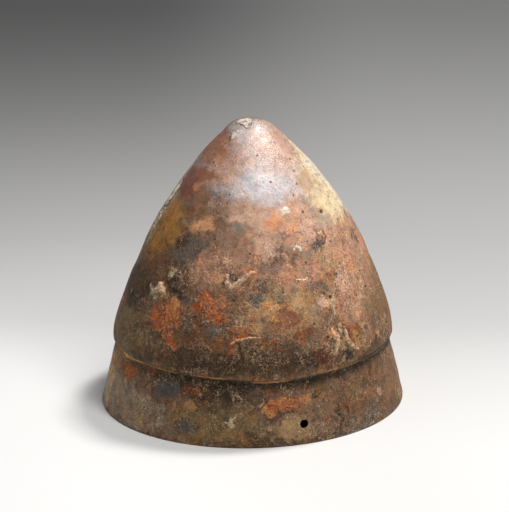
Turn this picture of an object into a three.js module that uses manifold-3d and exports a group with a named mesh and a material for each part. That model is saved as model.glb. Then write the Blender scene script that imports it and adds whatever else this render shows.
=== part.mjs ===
// A conical bronze helmet of the felt-cap shape: one sheet of bronze raised to a tall rounded
// cone, with a step pressed in above a flaring band, a chin-cord hole through each side of the
// band, and the burial crusts that still cling to the outside.
//
// Millimetres, +Z up. The rim stands on the plane Z = 0 and the helmet's axis is the Z axis.
// The brow faces -Y and the nape +Y, and the wearer's left is +X.

import * as THREE from "three";
import { mergeVertices } from "three/addons/utils/BufferGeometryUtils.js";
import Module from "manifold-3d";

const wasm = await Module();
wasm.setup();

// The helmet's driving sizes.
const HEIGHT = 201;
const RIM_LENGTH = 212; // brow to nape, over the rim
const RIM_WIDTH = 197; // side to side, over the rim
const STEP_LENGTH = 194; // brow to nape, over the widest part of the cone
const STEP_WIDTH = 188;
const STEP_HEIGHT = 48; // the cone's widest level
const CREASE_HEIGHT = 44.3; // where the band begins, tucked in under the cone
const CREASE_DEPTH = 2.2;
const LIP_DROP = 2.8; // how far the lip above the crease hangs down before it turns in
const SHEET = 1.5;

// The cone's side leaves the step upright and ends level at the tip.
const SIDE_RISE = 38; // length of the upright handle at the step
const TIP_SPREAD = 33; // length of the level handle at the tip

// An old knock has raised the rim a little to the left of the brow.
const LIFT = 1;
const LIFT_AZIMUTH = -76;
const LIFT_SPREAD = 24; // degrees to each side

// The chin-cord holes.
const HOLE_RADIUS = 3;
const HOLE_HEIGHT = 14;
const HOLE_SIDES = 24;
const PUNCH_LENGTH = 20;

// Burial crusts stand this far clear of the bronze.
const CRUST_GAP = 0.3;

// How finely the shapes are cut.
const TURNS = 64;
const CONE_STEPS = 20;
const LIP_STEPS = 4;
const BAND_STEPS = 4;
const PATCH_SIDES = 18;
const PATCH_RINGS = 8;

const PALETTE = {
  bronze: { color: 0x6b5645, roughness: 0.5, metalness: 0.75 },
  cuprite: { color: 0x9c4a26, roughness: 0.85, metalness: 0.05 },
  lime: { color: 0xb9a88e, roughness: 0.9, metalness: 0 },
  scab: { color: 0x5a463c, roughness: 0.85, metalness: 0.1 },
};

const rimRadius = RIM_LENGTH / 2;
const stepRadius = STEP_LENGTH / 2;
const creaseRadius = stepRadius - CREASE_DEPTH;

// The outer outline, from the tip down to the rim, as radius and height on the long axis.
function outerOutline() {
  const cone = new THREE.CubicBezierCurve(
    new THREE.Vector2(0, HEIGHT),
    new THREE.Vector2(TIP_SPREAD, HEIGHT),
    new THREE.Vector2(stepRadius, STEP_HEIGHT + SIDE_RISE),
    new THREE.Vector2(stepRadius, STEP_HEIGHT),
  );
  const lip = new THREE.QuadraticBezierCurve(
    new THREE.Vector2(stepRadius, STEP_HEIGHT),
    new THREE.Vector2(stepRadius, STEP_HEIGHT - LIP_DROP),
    new THREE.Vector2(creaseRadius, CREASE_HEIGHT),
  );
  const band = new THREE.LineCurve(
    new THREE.Vector2(creaseRadius, CREASE_HEIGHT),
    new THREE.Vector2(rimRadius, 0),
  );
  return [
    ...cone.getPoints(CONE_STEPS),
    ...lip.getPoints(LIP_STEPS).slice(1),
    ...band.getPoints(BAND_STEPS).slice(1),
  ];
}

const OUTLINE = outerOutline();

// The same outline, one sheet's thickness inside.
function innerOutline(outline) {
  return outline.map((point, i) => {
    const last = outline.length - 1;
    if (i === 0) return new THREE.Vector2(0, point.y - SHEET);
    if (i === last) return new THREE.Vector2(point.x - SHEET, 0);
    const along = outline[i + 1].clone().sub(outline[i - 1]).normalize();
    return new THREE.Vector2(point.x + along.y * SHEET, point.y - along.x * SHEET);
  });
}

// The share of its length that the helmet's width has, at one height.
function narrowing(z) {
  const rim = RIM_WIDTH / RIM_LENGTH;
  const cone = STEP_WIDTH / STEP_LENGTH;
  return THREE.MathUtils.lerp(rim, cone, THREE.MathUtils.clamp(z / CREASE_HEIGHT, 0, 1));
}

// The outer radius on the long axis at one height.
function radiusAt(z) {
  for (let i = 1; i < OUTLINE.length; i++) {
    const above = OUTLINE[i - 1];
    const below = OUTLINE[i];
    if (z <= above.y && z >= below.y) {
      const share = (above.y - z) / Math.max(above.y - below.y, 1e-9);
      return THREE.MathUtils.lerp(above.x, below.x, share);
    }
  }
  return z > HEIGHT ? 0 : rimRadius;
}

// How far a point lies outside the bronze, negative inside, measured level.
function outside(point) {
  return Math.hypot(point.x / narrowing(point.z), point.y) - radiusAt(point.z);
}

// The point on the outer face at one azimuth, in degrees from +X towards +Y, and one height.
function onBronze(azimuth, z) {
  const turn = THREE.MathUtils.degToRad(azimuth);
  const r = radiusAt(z);
  return new THREE.Vector3(r * narrowing(z) * Math.cos(turn), r * Math.sin(turn), z);
}

// The outward normal of the outer face near a point.
function outwardNormal(point) {
  const h = 0.5;
  const slope = (axis) => {
    const ahead = point.clone().addScaledVector(axis, h);
    const behind = point.clone().addScaledVector(axis, -h);
    return outside(ahead) - outside(behind);
  };
  return new THREE.Vector3(
    slope(new THREE.Vector3(1, 0, 0)),
    slope(new THREE.Vector3(0, 1, 0)),
    slope(new THREE.Vector3(0, 0, 1)),
  ).normalize();
}

// Moves a point along an outward direction until it lies on the outer face.
function seat(point, outwards) {
  const reach = 12;
  const halvings = 30;
  let low = -reach;
  let high = reach;
  for (let i = 0; i < halvings; i++) {
    const middle = (low + high) / 2;
    if (outside(point.clone().addScaledVector(outwards, middle)) > 0) high = middle;
    else low = middle;
  }
  return point.clone().addScaledVector(outwards, high);
}

// A closed mesh's geometry with only places, its shared corners merged.
function welded(geometry) {
  const bare = geometry.clone();
  bare.deleteAttribute("normal");
  bare.deleteAttribute("uv");
  return mergeVertices(bare, 1e-4);
}

function toSolid(geometry) {
  const g = welded(geometry);
  return new wasm.Manifold(
    new wasm.Mesh({
      numProp: 3,
      vertProperties: new Float32Array(g.attributes.position.array),
      triVerts: new Uint32Array(g.index.array),
    }),
  );
}

function fromSolid(solid) {
  const mesh = solid.getMesh();
  const geometry = new THREE.BufferGeometry();
  geometry.setAttribute("position", new THREE.BufferAttribute(mesh.vertProperties, 3));
  geometry.setIndex(new THREE.BufferAttribute(mesh.triVerts, 1));
  geometry.computeVertexNormals();
  return geometry;
}

// How much the old knock raises a point of the band.
function knock(x, y, z) {
  const azimuth = THREE.MathUtils.radToDeg(Math.atan2(y, x));
  const away = Math.abs(azimuth - LIFT_AZIMUTH) / LIFT_SPREAD;
  if (away >= 1 || z >= CREASE_HEIGHT) return 0;
  return LIFT * 0.5 * (1 + Math.cos(Math.PI * away)) * (1 - z / CREASE_HEIGHT);
}

// The bronze: a turned shell, drawn in to its oval plan, with the knock at its rim.
function shellGeometry() {
  const closed = [...innerOutline(OUTLINE), ...OUTLINE.toReversed()];
  const turned = new THREE.LatheGeometry(closed, TURNS);
  turned.rotateX(Math.PI / 2);
  const places = turned.attributes.position;
  for (let i = 0; i < places.count; i++) {
    const z = places.getZ(i);
    const x = places.getX(i) * narrowing(z);
    const y = places.getY(i);
    places.setXYZ(i, x, y, z + knock(x, y, z));
  }
  return turned;
}

// A round punch, square to the flaring band, at the wearer's left (+1) or right (-1).
function punchGeometry(side) {
  const flare = Math.atan2(rimRadius - creaseRadius, CREASE_HEIGHT);
  const punch = new THREE.CylinderGeometry(HOLE_RADIUS, HOLE_RADIUS, PUNCH_LENGTH, HOLE_SIDES);
  punch.rotateZ(Math.PI / 2);
  punch.rotateY(side * -flare);
  const middle = onBronze(side > 0 ? 0 : 180, HOLE_HEIGHT);
  punch.translate(middle.x, middle.y, middle.z);
  return punch;
}

function helmetShell() {
  const sheet = toSolid(shellGeometry());
  const pierced = [1, -1].reduce(
    (solid, side) => solid.subtract(toSolid(punchGeometry(side))),
    sheet,
  );
  return fromSolid(pierced);
}

// A crust: a ball pressed flat on to the bronze. Its edge swells towards three corners, and
// turn says where the first of them lies, in degrees round from the crust's level right.
function crustPatch({ azimuth, height, across, up, thick, turn }) {
  const corners = 0.18;
  const nicks = 0.09;
  const centre = onBronze(azimuth, height);
  const normal = outwardNormal(centre);
  const level = new THREE.Vector3(0, 0, 1).cross(normal).normalize();
  const upward = normal.clone().cross(level);

  const ball = new THREE.SphereGeometry(1, PATCH_SIDES, PATCH_RINGS);
  const places = ball.attributes.position;
  for (let i = 0; i < places.count; i++) {
    // The ball's Y axis becomes the crust's thickness, and its X and -Z lie on the bronze.
    const x = places.getX(i);
    const y = -places.getZ(i);
    const round = Math.atan2(y, x) - THREE.MathUtils.degToRad(turn);
    const edge = 1 + corners * Math.cos(3 * round) + nicks * Math.cos(5 * round);
    const over = centre
      .clone()
      .addScaledVector(level, across * edge * x)
      .addScaledVector(upward, up * edge * y);
    const rise = CRUST_GAP + thick * Math.max(places.getY(i), 0);
    const point = seat(over, normal).addScaledVector(normal, rise);
    places.setXYZ(i, point.x, point.y, point.z);
  }
  return welded(ball);
}

// A raised line of crust along a row of azimuths and heights.
function crustRidge({ line, thick }) {
  const middles = line.map(([azimuth, height]) => {
    const foot = onBronze(azimuth, height);
    return foot.addScaledVector(outwardNormal(foot), CRUST_GAP + thick / 2);
  });
  const section = new THREE.Shape();
  section.absarc(0, 0, thick / 2, 0, Math.PI * 2);
  return new THREE.ExtrudeGeometry(section, {
    extrudePath: new THREE.CatmullRomCurve3(middles),
    steps: 4 * (line.length - 1),
    curveSegments: 4,
  });
}

// The crusts, each where it clings: angles in degrees, the rest in millimetres.
const PATCHES = {
  apex_lime_cap: {
    material: "lime",
    patch: { azimuth: -54, height: 199, across: 6.5, up: 4.6, thick: 1, turn: 80 },
  },
  apex_lime_flake: {
    material: "lime",
    patch: { azimuth: -66.5, height: 192.5, across: 2.8, up: 3.6, thick: 0.9, turn: 60 },
  },
  brow_lime_lump: {
    material: "lime",
    patch: { azimuth: -69.5, height: 97, across: 4, up: 3.6, thick: 2, turn: 100 },
  },
  brow_scab: {
    material: "scab",
    patch: { azimuth: -60.5, height: 104, across: 7, up: 6.8, thick: 1.2, turn: 90 },
  },
  brow_cuprite: {
    material: "cuprite",
    patch: { azimuth: -59.5, height: 79.5, across: 11, up: 12.5, thick: 0.9, turn: -90 },
  },
  side_cuprite: {
    material: "cuprite",
    patch: { azimuth: -40, height: 93.5, across: 11, up: 8, thick: 0.9, turn: -90 },
  },
  low_cuprite: {
    material: "cuprite",
    patch: { azimuth: -26, height: 80, across: 8.5, up: 3.2, thick: 0.8, turn: 30 },
  },
  band_cuprite: {
    material: "cuprite",
    patch: { azimuth: -7, height: 28.5, across: 13.5, up: 4.4, thick: 0.8, turn: 20 },
  },
  side_blister: {
    material: "scab",
    patch: { azimuth: 23, height: 130, across: 4.6, up: 5.2, thick: 1.5, turn: 90 },
  },
  brow_flank_crust: {
    material: "lime",
    patch: { azimuth: -105.5, height: 131.5, across: 4, up: 14, thick: 1.1, turn: 90 },
  },
  nape_shoulder_crust: {
    material: "lime",
    patch: { azimuth: 61, height: 165.5, across: 6, up: 13, thick: 0.7, turn: -90 },
  },
};

const RIDGES = {
  hook_crust: {
    line: [[-33.5, 112.5], [-33.5, 108], [-31.5, 106], [-29, 107], [-26.5, 109.5], [-20.5, 115]],
    thick: 1.3,
  },
  flake_lip_crust: { line: [[-30, 70.5], [-26.5, 73.5], [-21.5, 75], [-17, 75]], thick: 1 },
  root_crust_front: { line: [[15, 74.5], [15.5, 71], [16, 68]], thick: 1.2 },
  root_crust_middle: { line: [[20, 76], [18, 70], [17, 65], [15.5, 59.5]], thick: 1.2 },
  root_crust_rear: { line: [[21.5, 73.5], [22.5, 65], [25, 59.5], [27, 57]], thick: 1.2 },
};

const helmet = new THREE.Group();
helmet.name = "conical_bronze_helmet";

function addPiece(name, geometry, material) {
  const finish = new THREE.MeshStandardMaterial({ name: material, ...PALETTE[material] });
  const piece = new THREE.Mesh(geometry, finish);
  piece.name = name;
  helmet.add(piece);
}

addPiece("helmet_shell", helmetShell(), "bronze");
for (const [name, { material, patch }] of Object.entries(PATCHES)) {
  addPiece(name, crustPatch(patch), material);
}
for (const [name, ridge] of Object.entries(RIDGES)) {
  addPiece(name, crustRidge(ridge), "lime");
}

export default helmet;
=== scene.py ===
"""The looks of an old conical bronze helmet: its beaten sheet, burial crusts and stained skin.

Shapes are worked out in millimetres in the model's own frame, +Z up, with the brow towards -Y and
the wearer's left towards +X. An azimuth is in degrees from +X towards +Y. A piece is made metres
only when it is finished.
"""

import bisect
import math
import random

import bmesh
import bpy
from mathutils import Matrix, Vector, geometry, noise


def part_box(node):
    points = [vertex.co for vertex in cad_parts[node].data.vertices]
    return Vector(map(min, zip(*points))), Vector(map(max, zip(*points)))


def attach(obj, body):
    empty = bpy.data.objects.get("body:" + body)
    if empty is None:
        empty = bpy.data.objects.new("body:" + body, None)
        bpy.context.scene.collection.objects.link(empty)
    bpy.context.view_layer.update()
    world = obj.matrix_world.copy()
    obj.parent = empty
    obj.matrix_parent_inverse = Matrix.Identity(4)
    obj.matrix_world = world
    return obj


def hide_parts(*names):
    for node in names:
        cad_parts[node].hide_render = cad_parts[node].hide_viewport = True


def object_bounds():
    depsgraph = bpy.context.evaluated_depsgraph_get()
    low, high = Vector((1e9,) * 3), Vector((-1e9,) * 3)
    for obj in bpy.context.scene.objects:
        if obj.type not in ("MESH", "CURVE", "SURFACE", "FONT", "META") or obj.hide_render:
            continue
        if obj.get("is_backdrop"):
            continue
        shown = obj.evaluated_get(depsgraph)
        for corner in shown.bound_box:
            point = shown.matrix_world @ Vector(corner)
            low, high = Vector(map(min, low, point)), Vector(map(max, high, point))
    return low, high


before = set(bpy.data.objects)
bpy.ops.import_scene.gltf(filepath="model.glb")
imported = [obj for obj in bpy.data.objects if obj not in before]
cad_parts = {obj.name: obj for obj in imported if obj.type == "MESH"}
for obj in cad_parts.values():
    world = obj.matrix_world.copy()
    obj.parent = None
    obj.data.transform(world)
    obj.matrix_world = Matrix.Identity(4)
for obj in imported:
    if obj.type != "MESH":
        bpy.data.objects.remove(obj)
cad_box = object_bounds()

MM = 0.001

# The helmet's sizes in millimetres. Those of its box are read from the frame.
shell_low, shell_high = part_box("helmet_shell")
HEIGHT = (shell_high.z - shell_low.z) / MM
RIM_LENGTH = (shell_high.y - shell_low.y) / MM
RIM_WIDTH = (shell_high.x - shell_low.x) / MM
STEP_LENGTH = 194.0
STEP_WIDTH = 188.0
STEP_HEIGHT = 48.0
CREASE_HEIGHT = 44.3
CREASE_DEPTH = 2.2
LIP_DROP = 2.8
SHEET = 1.5
EDGE_ROUND = 0.35
HOLE_RADIUS = 3.0
HOLE_HEIGHT = 14.0
HOLE_AZIMUTHS = (0, 180)

# The cone's side leaves the step upright and ends level at the tip: the lengths of both handles.
SIDE_RISE = 38.0
TIP_SPREAD = 33.0

# The old knock that raises a stretch of the rim: its height, middle and degrees to each side.
LIFT = 1.0
LIFT_AZIMUTH = -76.0
LIFT_SPREAD = 24.0

rim_radius = RIM_LENGTH / 2
step_radius = STEP_LENGTH / 2
crease_radius = step_radius - CREASE_DEPTH

# Where the photograph was taken from, in millimetres and degrees.
CAMERA_AZIMUTH = -20.97
CAMERA_HEIGHT = 757.2
CAMERA_REACH = 1919.2
CAMERA_TARGET = Vector((0.42, 1.09, 102.0))
CAMERA_LENS = 206.96


def evenly(points, step):
    """The points of a line, spread out again about one step apart."""
    runs = [0.0]
    for here, after in zip(points, points[1:]):
        runs.append(runs[-1] + (after - here).length)
    count = max(2, round(runs[-1] / step))
    spread = []
    for i in range(count + 1):
        run = runs[-1] * i / count
        at = min(max(bisect.bisect_left(runs, run), 1), len(runs) - 1)
        share = (run - runs[at - 1]) / max(runs[at] - runs[at - 1], 1e-9)
        spread.append(points[at - 1].lerp(points[at], share))
    return spread


def side_outline(cone_step, lip_step, band_step):
    """The outer outline from the tip down to the rim, as (radius, height) on the long axis."""
    cone = geometry.interpolate_bezier(
        Vector((0, HEIGHT)),
        Vector((TIP_SPREAD, HEIGHT)),
        Vector((step_radius, STEP_HEIGHT + SIDE_RISE)),
        Vector((step_radius, STEP_HEIGHT)),
        400,
    )
    under_lip = Vector((step_radius, STEP_HEIGHT - LIP_DROP))
    crease = Vector((crease_radius, CREASE_HEIGHT))
    lip = geometry.interpolate_bezier(
        Vector((step_radius, STEP_HEIGHT)),
        Vector((step_radius, STEP_HEIGHT)).lerp(under_lip, 2 / 3),
        crease.lerp(under_lip, 2 / 3),
        crease,
        30,
    )
    band = [crease, Vector((rim_radius, 0))]
    return (
        evenly(cone, cone_step)
        + evenly(lip, lip_step)[1:]
        + evenly(band, band_step)[1:]
    )


FINE_OUTLINE = side_outline(0.8, 0.3, 0.8)
RISING_HEIGHTS = [point.y for point in reversed(FINE_OUTLINE)]
RISING_RADII = [point.x for point in reversed(FINE_OUTLINE)]
TIP_POINTS = 60
TIP_HEIGHTS = [point.y for point in FINE_OUTLINE[:TIP_POINTS]]
TIP_RADII = [point.x for point in FINE_OUTLINE[:TIP_POINTS]]


def radius_at(z):
    """The outer radius on the long axis at one height."""
    if z >= HEIGHT:
        return 0.0
    at = min(max(bisect.bisect_left(RISING_HEIGHTS, z), 1), len(RISING_HEIGHTS) - 1)
    low, high = RISING_HEIGHTS[at - 1], RISING_HEIGHTS[at]
    share = min(max((z - low) / max(high - low, 1e-9), 0.0), 1.0)
    return RISING_RADII[at - 1] + (RISING_RADII[at] - RISING_RADII[at - 1]) * share


def narrowing(z):
    """The share of its length that the helmet's width has at one height."""
    rim = RIM_WIDTH / RIM_LENGTH
    cone = STEP_WIDTH / STEP_LENGTH
    return rim + (cone - rim) * min(max(z / CREASE_HEIGHT, 0.0), 1.0)


def outside(point):
    """How far a point lies outside the bronze, measured level."""
    return math.hypot(point.x / narrowing(point.z), point.y) - radius_at(point.z)


def on_bronze(azimuth, z):
    """The place on the plain outer face at an azimuth and a height."""
    turn = math.radians(azimuth)
    r = radius_at(z)
    return Vector((r * narrowing(z) * math.cos(turn), r * math.sin(turn), z))


def outward(point):
    """The outer face's normal near a point."""
    step = 0.5
    wide = narrowing(point.z)
    away = max(math.hypot(point.x / wide, point.y), 1e-6)
    steep = (radius_at(point.z - step) - radius_at(point.z + step)) / (2 * step)
    return Vector((point.x / (wide * wide * away), point.y / away, steep)).normalized()


def directions(place):
    """The level, upward and outward directions of the bronze at a place on it."""
    normal = outward(place)
    level = Vector((0, 0, 1)).cross(normal).normalized()
    return level, normal.cross(level), normal


def seat(point, normal, reach=14.0):
    """The place where a line along a normal meets the outer face."""
    low, high = -reach, reach
    for _ in range(22):
        middle = (low + high) / 2
        if outside(point + normal * middle) > 0:
            high = middle
        else:
            low = middle
    return point + normal * high


def smooth(low, high, value):
    """0 at low, 1 at high and smooth between them; high may be the lower one."""
    share = min(max((value - low) / (high - low), 0.0), 1.0)
    return share * share * (3 - 2 * share)


def knock(point):
    """How much the old knock raises a point of the band."""
    azimuth = math.degrees(math.atan2(point.y, point.x))
    away = abs(azimuth - LIFT_AZIMUTH) / LIFT_SPREAD
    if away >= 1 or point.z >= CREASE_HEIGHT:
        return 0.0
    return LIFT * 0.5 * (1 + math.cos(math.pi * away)) * (1 - point.z / CREASE_HEIGHT)


# The crease wanders up and down: azimuth, degrees to each side, and rise.
CREASE_BENDS = [
    (-48, 26, 1.3),
    (-84, 18, 1.3),
    (-8, 28, -1.2),
    (42, 38, 3.0),
    (150, 40, 1.4),
    (215, 36, -1.2),
]
# How far above and below the crease the bronze follows it.
CREASE_SWAY = 26.0


def crease_bend(point):
    """How much the crease's wandering raises a point above or below it."""
    near = 1.0 - smooth(0.0, CREASE_SWAY, abs(point.z - CREASE_HEIGHT))
    if near == 0:
        return 0.0
    azimuth = math.degrees(math.atan2(point.y, point.x))
    rise = 0.0
    for middle, spread, height in CREASE_BENDS:
        away = abs((azimuth - middle + 180) % 360 - 180) / spread
        if away < 1:
            rise += height * 0.5 * (1 + math.cos(math.pi * away))
    return rise * near


# The dents in the bronze: azimuth in degrees, then height, half width and depth in millimetres.
DENTS = {
    "open_pit": (33.5, 144.5, 1.7, 0.9),
    "small_pit": (18, 94, 1.3, 0.9),
    "grey_hollow": (18.5, 99.5, 3.2, 0.4),
    "hook_hollow": (-29, 110.5, 3.6, 0.55),
    "pitted_spot_upper": (-48.5, 154.5, 3.4, 0.35),
    "pitted_spot_lower": (-47, 149, 3.8, 0.4),
    "flake_floor": (-23.5, 69, 9.0, 0.3),
    "tan_chip": (8, 83.5, 4.2, 0.35),
    "left_scar": (-90.5, 86.5, 3.2, 0.4),
    "knuckle_dent": (98, 91.5, 17.0, 1.1),
    "nape_dent": (146, 125.5, 13.0, 0.8),
    "back_pit": (205.5, 79, 2.2, 0.8),
    "far_pit": (241.5, 136.5, 1.9, 0.8),
    "brow_flat": (-111, 88, 26.0, 1.5),
    "shoulder_flat": (70, 182, 17.0, 1.3),
    "nape_belly": (70, 128, 24.0, -1.3),
    "tip_shoulder": (-105, 197, 9.0, -1.6),
}
DENT_PLACES = {name: on_bronze(azimuth, height) for name, (azimuth, height, _, _) in DENTS.items()}
# A dent narrower than this gets finer faces.
SMALL_DENT = 4.5


def hammering(point):
    """The broad unevenness of a sheet raised by hand, which both its faces share."""
    broad = noise.noise(point / 34.0) * 0.5 + noise.noise(point / 15.0 + Vector((7, 3, 1))) * 0.22
    return broad * smooth(0.0, 9.0, point.z)


def relief(point):
    """How far the outer face stands proud of its plain shape."""
    planish = noise.noise(point / 6.0 + Vector((2, 9, 4))) * 0.09
    scale = noise.multi_fractal(point / 5.2, 0.7, 2.1, 3) - 1.0
    crusted = smooth(0.05, 0.5, noise.noise(point / 12.0 + Vector((5, 5, 0)))) * 0.16
    low_down = 1.0 - smooth(140.0, 174.0, point.z) * 0.75
    dent = 0.0
    for name, (_, _, width, depth) in DENTS.items():
        away = (point - DENT_PLACES[name]).length / width
        if away < 1.6:
            dent -= depth * (1.0 - smooth(0.35, 1.5, away))
    return hammering(point) + planish + (crusted + 0.07 * scale) * low_down + dent


def on_skin(point, normal, lift=0.0):
    """A point of the plain outer face, moved out on to the real skin or above it."""
    return point + normal * (relief(point) + lift)


def finished(bm, name, materials, slot, replaces=()):
    """Makes a bmesh, worked in millimetres, a piece of the helmet."""
    mesh = bpy.data.meshes.new(name)
    bm.to_mesh(mesh)
    bm.free()
    mesh.transform(Matrix.Scale(MM, 4))
    mesh.shade_smooth()
    for material in materials:
        mesh.materials.append(material)
    piece = bpy.data.objects.new(name, mesh)
    bpy.context.scene.collection.objects.link(piece)
    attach(piece, "root")
    if replaces:
        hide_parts(*replaces)
    return piece


# The bronze sheet.

# How many steps its section is spun round in.
TURNS = 384


def closed_outline():
    """The sheet's section: down the outside, round the rim's edge and up the inside."""
    outer = side_outline(1.65, 0.45, 1.5)
    inner = []
    coarse = side_outline(3.4, 0.9, 1.7)
    for before, here, after in zip(coarse, coarse[1:], coarse[2:]):
        along = (after - before).normalized()
        inner.append(here + Vector((along.y, -along.x)) * SHEET)
    inset, rise = 0.06, 0.12
    rim = [
        Vector((rim_radius - inset, rise)),
        Vector((rim_radius - EDGE_ROUND, 0.0)),
        Vector((rim_radius - SHEET + EDGE_ROUND, 0.0)),
        Vector((rim_radius - SHEET + inset, rise)),
    ]
    outer[-1] = Vector((rim_radius - 0.1, EDGE_ROUND))
    return outer + rim + list(reversed(inner)) + [Vector((0, HEIGHT - SHEET))]


def turned_sheet():
    """The plain sheet: its section spun round, and then squeezed from side to side."""
    bm = bmesh.new()
    corners = [bm.verts.new((0, point.x, point.y)) for point in closed_outline()]
    edges = [bm.edges.new(pair) for pair in zip(corners, corners[1:])]
    bmesh.ops.spin(
        bm,
        geom=corners + edges,
        cent=(0, 0, 0),
        axis=(0, 0, 1),
        angle=math.tau,
        steps=TURNS,
        use_merge=True,
    )
    bmesh.ops.remove_doubles(bm, verts=bm.verts, dist=0.002)
    for vert in bm.verts:
        vert.co.x *= narrowing(vert.co.z)
    bmesh.ops.recalc_face_normals(bm, faces=bm.faces)
    return bm


def refine(bm, centre, reach, cuts=2):
    """Cuts the faces round a place finer."""
    near = [face for face in bm.faces if (face.calc_center_median() - centre).length < reach]
    edges = {edge for face in near for edge in face.edges}
    bmesh.ops.subdivide_edges(bm, edges=list(edges), cuts=cuts, use_grid_fill=True)


def pierce(bm, azimuth):
    """Punches a chin-cord hole through the band and walls its edge."""
    middle = on_bronze(azimuth, HOLE_HEIGHT)
    way = outward(middle)
    refine(bm, middle, 2.6 * HOLE_RADIUS)

    def off_axis(point):
        along = point - middle
        return along - way * along.dot(way)

    near = [face for face in bm.faces if (face.calc_center_median() - middle).length < 3 * HOLE_RADIUS]
    punched = [face for face in near if off_axis(face.calc_center_median()).length < HOLE_RADIUS]
    bmesh.ops.delete(bm, geom=punched, context="FACES")
    edges = [edge for edge in bm.edges if edge.is_boundary]
    for vert in {vert for edge in edges for vert in edge.verts}:
        away = off_axis(vert.co)
        wear = noise.noise(vert.co * 0.9) * 0.22
        vert.co += away.normalized() * (HOLE_RADIUS + wear - away.length)
    bmesh.ops.bridge_loops(bm, edges=edges)


def inside_depth(point, normal):
    """How far a point lies in from the outer face, along its normal."""
    tip_depth = 8
    if point.z < HEIGHT - tip_depth:
        return -outside(point) * normal.to_2d().length
    away = math.hypot(point.x / narrowing(point.z), point.y)
    at = min(bisect.bisect_left(TIP_RADII, away), len(TIP_RADII) - 1)
    return (TIP_HEIGHTS[at] - point.z) * normal.z


def ragged_rim(point):
    """How much wear has raised the rim's edge near a point, nothing well above it."""
    wear = noise.noise(point / 11.0 + Vector((1, 0, 8))) * 0.3 + noise.noise(point / 3.1) * 0.12
    return max(wear, 0.0) * (1 - smooth(0.0, 3.0, point.z))


def build_sheet(skin, lining_side):
    """The bronze: pierced, dented, knocked at the rim and given its outer and inner finish."""
    bm = turned_sheet()
    for azimuth in HOLE_AZIMUTHS:
        pierce(bm, azimuth)
    for name, (_, _, width, _) in DENTS.items():
        if width < SMALL_DENT:
            refine(bm, DENT_PLACES[name], width * 1.9, cuts=1)
    bm.normal_update()
    for vert in bm.verts:
        here = vert.co.copy()
        normal = outward(here)
        vert.tag = inside_depth(here, normal) > 0.5 * SHEET
        lift = hammering(here) if vert.tag else relief(here)
        vert.co = here + normal * lift * smooth(-0.1, 2.5, here.z)
        vert.co.z += knock(here) + crease_bend(here) + ragged_rim(here)
    for face in bm.faces:
        face.material_index = 1 if all(vert.tag for vert in face.verts) else 0
    return finished(bm, "bronze_sheet", [skin, lining_side], "bronze", ["helmet_shell"])


# Crusts.


def grow_crust(name, centre, reach, lift, material, slot, replaces=(), spacing=0.45, sunk=0.35):
    """A crust grown on the bronze round one place.

    The lift function says, for a place so many millimetres level right and up along the bronze,
    how far the crust stands proud there, or None where there is none. The crust has a point
    every so much spacing, and its foot is sunk into the bronze.
    """
    middle = on_bronze(*centre)
    level, upward, normal = directions(middle)
    across, up = reach

    bm = bmesh.new()
    bmesh.ops.create_grid(
        bm,
        x_segments=round(2 * across / spacing),
        y_segments=round(2 * up / spacing),
        size=1.0,
    )
    heights = {}
    bare = []
    for vert in bm.verts:
        u, v = vert.co.x * across, vert.co.y * up
        height = lift(u, v)
        if height is None:
            bare.append(vert)
            continue
        place = seat(middle + level * u + upward * v, normal)
        out = outward(place)
        heights[vert] = (place, out, height)
        vert.co = on_skin(place, out, -sunk)
    bmesh.ops.delete(bm, geom=bare, context="VERTS")
    loose = [vert for vert in bm.verts if not vert.link_faces]
    bmesh.ops.delete(bm, geom=loose, context="VERTS")
    tops = {tuple(vert.co): heights[vert] for vert in bm.verts}
    grown = bmesh.ops.extrude_face_region(bm, geom=list(bm.faces), use_keep_orig=True)
    for vert in grown["geom"]:
        if isinstance(vert, bmesh.types.BMVert):
            place, out, height = tops[tuple(vert.co)]
            vert.co = on_skin(place, out, height)
    bmesh.ops.recalc_face_normals(bm, faces=bm.faces)
    return finished(bm, name + "_grown", [material], slot, replaces)


def fractal(u, v, size, seed, octaves=4):
    """Noise over a crust, about -1 to 1, with grains of one size and finer ones on them."""
    return noise.fractal(Vector((u / size, v / size, seed)), 0.8, 2.0, octaves)


def cornered(u, v, across, up, turn, seed, ragged):
    """How far out a place lies in a ragged patch that swells towards three corners: 1 at its edge."""
    bearing = math.atan2(v / up, u / across) - math.radians(turn)
    edge = 1 + 0.18 * math.cos(3 * bearing) + 0.09 * math.cos(5 * bearing)
    return math.hypot(u / across, v / up) / edge + ragged * fractal(u, v, 3.5, seed)


# The share of a patch's width over which it thins out, and how deep its edge is sunk.
SHOULDER = 0.3
EDGE_SUNK = 0.12


def patch_lift(across, up, thick, turn, grain, grain_size, ragged, seed):
    """The lift function of a patch: flat-topped, grainy, thinning to nothing at a ragged edge."""

    def lift(u, v):
        out = cornered(u, v, across, up, turn, seed, ragged)
        if out > 1.05:
            return None
        body = smooth(1.0, 1.0 - SHOULDER, out)
        grains = fractal(u, v, grain_size, seed + 20.0, 5)
        return thick * body * (1.0 + grain * grains) - EDGE_SUNK

    return lift


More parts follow.
